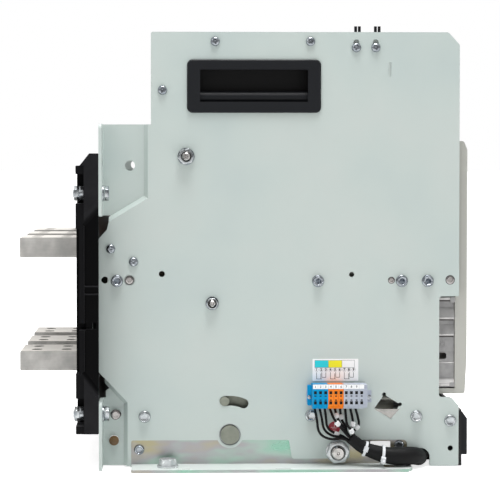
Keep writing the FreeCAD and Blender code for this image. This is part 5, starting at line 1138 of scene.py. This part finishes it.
def controller_screen():
    brick((-115.6, SCREEN_FACE, 200.4), (-60.4, -189.8, 239.6))
    bevelled(0.3, 2)
    settle("controller_screen", "black_plastic", "breaker", screen_glass())
    front_field("controller_display", -109.0, -67.0, 205.5, 234.5, SCREEN_FACE, "breaker", "black_plastic",
                ink("display_green", "#8C9C86"), 0.06)
    marks = []
    for x, tall in ((-100.0, 15.0), (-89.0, 17.5), (-78.0, 14.0)):
        marks.append(bar((x, 210.5), (x, 210.5 + tall), 4.0, SCREEN_FACE - 0.05))
    marks.append(bar((-106.0, 208.0), (-70.0, 208.0), 0.6, SCREEN_FACE - 0.05))
    joined(marks)
    settle("controller_bars", "black_plastic", "breaker", ink("display_dark", "#2A3330"))


def controller_keys():
    # three arrows and a ring on the keys, and the row of lamps under them
    key_z, first = 184.0, -112.0
    signs = []
    for i, turn in enumerate((90, -90, 0)):
        spin = Matrix.Rotation(math.radians(turn), 2)
        centre = Vector((first + 16.0 * i, key_z))
        corners = [spin @ Vector(p) + centre for p in ((1.8, 0), (-1.2, 1.7), (-1.2, -1.7))]
        for a, b in zip(corners, corners[1:] + corners[:1]):
            signs.append(bar(a, b, 0.5, -190.4))
    signs.append(ring_band(1.7, 0.5, 0.06, (first + 48.0, -190.43, key_z), ALONG_Y))
    joined(signs)
    settle("controller_signs", "black_plastic", "breaker", ink("ink_pale", "#D8DBDD"))
    for i, code in enumerate(("#2E8B46", "#B8501A", "#B8501A", "#9C2222", "#9C2222")):
        deselect()
        bpy.ops.mesh.primitive_cylinder_add(vertices=24, radius=1.65 * MM, depth=0.8 * MM, rotation=ALONG_Y,
                                            location=Vector((first + 13.0 * i, -190.3, 166.0)) * MM)
        bevelled(0.38, 3)
        lens = settle(f"controller_lamp_{i + 1}", "black_plastic", "breaker", lamp_lens(f"lens_{i + 1}", code))
        lens.data.shade_smooth()


def button_marks():
    white = ink("mark_white", "#F4F4F2")
    bar((64.0, 228.6), (64.0, 235.4), 1.6, -190.45, 0.2)
    settle("on_mark", "green_plastic", "on_button", white)
    ring_band(4.0, 1.4, 0.2, (64.0, -190.55, 204.0), ALONG_Y)
    settle("off_mark", "red_plastic", "off_button", white)


def flag_marks():
    # two fields on each flag, with the open and closed marks and the slack and wound springs
    open_x, closed_x = 64.0, 86.0
    for name, z, colours in (("contact", 173.0, ("#1F8A45", "#C3272B")), ("spring", 149.0, ("#ECEFF0", "#F0D21E"))):
        for i, (x, code) in enumerate(zip((open_x, closed_x), colours)):
            front_field(f"{name}_field_{i + 1}", x - 10.9, x + 10.9, z - 7.4, z + 7.4, FLAG_FACE, f"{name}_flag",
                        "white_nylon", ink(f"flag_ink_{name}_{i + 1}", code))
    pale = ink("flag_mark_pale", "#F6F6F4")
    ring_band(4.0, 1.2, 0.05, (open_x, FLAG_FACE - 0.07, 173.0), ALONG_Y)
    settle("contact_open_mark", "white_nylon", "contact_flag", pale)
    bar((closed_x, 169.6), (closed_x, 176.4), 1.5, FLAG_FACE - 0.05, 0.05)
    settle("contact_closed_mark", "white_nylon", "contact_flag", pale)
    dark = ink("flag_mark_dark", "#26292B")
    for name, x, step in (("slack", open_x, 3.4), ("wound", closed_x, 2.0)):
        strokes = []
        for k in range(5):
            x0 = x + (k - 2.5) * step
            z0, z1 = (145.2, 152.8) if k % 2 else (152.8, 145.2)
            strokes.append(bar((x0, z0), (x0 + step, z1), 0.7, FLAG_FACE - 0.05, 0.05))
        joined(strokes)
        settle(f"spring_{name}_mark", "white_nylon", "spring_flag", dark)


def handle_ribs():
    brick((-1.5, -191.3, -0.9), (23.5, -190.5, 0.9))
    bevelled(0.35, 2)
    copies([moved(0, 0, 104.5 + 3.6 * k) for k in range(6)])
    settle("handle_ribs", "black_plastic", "charging_handle")


def racking_details():
    # fields of the position indicator with the pane before them, and the bush of the racking screw
    for name, low, high, look, code in (("in", 29.3, 40.6, "white", "#EEF1F2"),
                                        ("test", 26.7, 29.3, "yellow", "#F2EE16"),
                                        ("out", 16.3, 26.7, "cyan", "#16D3DE")):
        front_field(f"position_field_{name}", -71.5, -48.5, low, high, INDICATOR_FACE, "position_indicator",
                    "white_nylon", ink(f"position_{look}", code))
    brick((-71.9, -190.8, 28.1), (-48.1, -189.8, 39.9))
    bevelled(0.3, 2)
    settle("position_window", "black_plastic", "cassette", clear_window())
    ring_band(8.75, 1.1, 7.0, (0, -187.7, 14.0), ALONG_Y)
    settle("screw_bush", "bright_zinc", "cassette")


def socket_rows():
    # walls, screws and clamps of the control wiring socket on top of the cassette
    ways = [SOCKET_FIRST + SOCKET_PITCH * k for k in range(SOCKET_WAYS)]
    brick((-0.5, -79.8, SOCKET_TOP), (0.5, -52.2, SOCKET_TOP + 4.6))
    bevelled(0.25, 1)
    copies([moved(x - SOCKET_PITCH / 2, 0, 0) for x in ways + [ways[-1] + SOCKET_PITCH]])
    settle("socket_walls", "black_plastic", "cassette")
    slotted_screw(2.7, 1.8)
    copies([moved(x, -58.5, SOCKET_TOP) @ Matrix.Rotation(math.radians(37 * k), 4, "Z") for k, x in enumerate(ways)])
    settle("socket_screws", "bright_zinc", "cassette")
    brick((-3.2, -76.5, SOCKET_TOP), (3.2, -62.5, SOCKET_TOP + 1.4))
    dished(lambda normal: normal.z > 0.9, 0.9, 0.3, 0.6)
    bevelled(0.2, 1)
    copies([moved(x, 0, 0) for x in ways])
    settle("socket_clamps", "tinned_copper", "cassette")


# stage, light and camera

def floor():
    # matt white sheet that shows white to the camera and keeps the object's shadow
    material = bpy.data.materials.new("floor_white")
    material.use_nodes = True
    tree = material.node_tree
    seen = add(tree, "LightPath").outputs
    mirrored = add(tree, "Math", {0: seen["Is Glossy Ray"], 1: 0.1}, operation="MULTIPLY")
    glow = add(tree, "Math", {0: seen["Is Camera Ray"], 1: 0.72, 2: mirrored}, operation="MULTIPLY_ADD")
    feed(tree, tree.nodes["Principled BSDF"], {"Base Color": hex_colour("#F4F4F4"), "Roughness": 0.7,
                                               "Emission Color": (1, 1, 1, 1), "Emission Strength": glow})
    deselect()
    bpy.ops.mesh.primitive_plane_add(size=80, location=(0, 0, cad_low.z - 0.2 * MM))
    plane = bpy.context.object
    plane.name = "floor"
    plane.data.materials.append(material)
    deselect()


def sky():
    # white behind the object, a soft ceiling over it, and a dimmer room on the photographer's side
    world = bpy.data.worlds.new("studio")
    bpy.context.scene.world = world
    world.use_nodes = True
    tree = world.node_tree
    tree.nodes.clear()
    seen = add(tree, "LightPath").outputs
    direct = add(tree, "Math", {0: seen["Is Camera Ray"], 1: seen["Is Transmission Ray"]}, operation="MAXIMUM")
    way = add(tree, "SeparateXYZ", {"Vector": add(tree, "TexCoord").outputs["Generated"]}).outputs
    high = add(tree, "Math", {0: way["Z"], 1: 0.55, 2: 0.45}, operation="MULTIPLY_ADD")
    back = add(tree, "Math", {0: way["X"], 1: 0.45, 2: high}, operation="MULTIPLY_ADD")
    room = add(tree, "MapRange", {"Value": back, "To Min": 0.12, "To Max": 0.96})
    shown = add(tree, "Math", {0: seen["Is Glossy Ray"], 1: 0.08, 2: room}, operation="MULTIPLY_ADD")
    level = add(tree, "Math", {0: direct, 1: shown}, operation="MAXIMUM")
    glow = add(tree, "Background", {"Color": (1, 1, 1, 1), "Strength": level})
    add(tree, "OutputWorld", {"Surface": glow})


def lamp(name, place, target, size, power):
    data = bpy.data.lights.new(name, "AREA")
    data.shape = "DISK"
    data.size = size
    data.energy = power
    light = bpy.data.objects.new(name, data)
    light.location = place
    light.rotation_euler = (Vector(target) - Vector(place)).to_track_quat("-Z", "Y").to_euler()
    bpy.context.scene.collection.objects.link(light)


def camera():
    data = bpy.data.cameras.new("camera")
    data.lens = FOCUS_PX / PICTURE_PX * data.sensor_width
    data.shift_x = SHIFT_PX[0] / PICTURE_PX
    data.shift_y = -SHIFT_PX[1] / PICTURE_PX
    data.clip_start = 0.05
    data.clip_end = 60
    view = bpy.data.objects.new("camera", data)
    right = PICTURE_PX / 2 - STRAIGHT_AHEAD_PX[0] - SHIFT_PX[0]
    down = PICTURE_PX / 2 - STRAIGHT_AHEAD_PX[1] - SHIFT_PX[1]
    view.location = EYE
    view.rotation_euler = Vector((FOCUS_PX, -right, -down)).to_track_quat("-Z", "Y").to_euler()
    bpy.context.scene.collection.objects.link(view)
    bpy.context.scene.camera = view


camera()
dress_nodes()
wire_markers(wires())
wire_sleeve()
function_label()
side_bolts()
plate_studs()
plate_screws()
earth_screw()
flange_fasteners()
notch_edges()
window_tongue()
rear_plug()
rivet_ends()
block_details()
earth_mark()
controller_screen()
controller_keys()
button_marks()
flag_marks()
handle_ribs()
racking_details()
socket_rows()
floor()
sky()
lamp("key", (-0.52, -0.05, 2.15), (-0.12, 0, 0.2), 1.1, 36)
lamp("fill", (-1.3, 1.5, 1.3), (-0.15, 0.1, 0.2), 1.2, 4)
scene = bpy.context.scene
scene.view_settings.view_transform = "Standard"
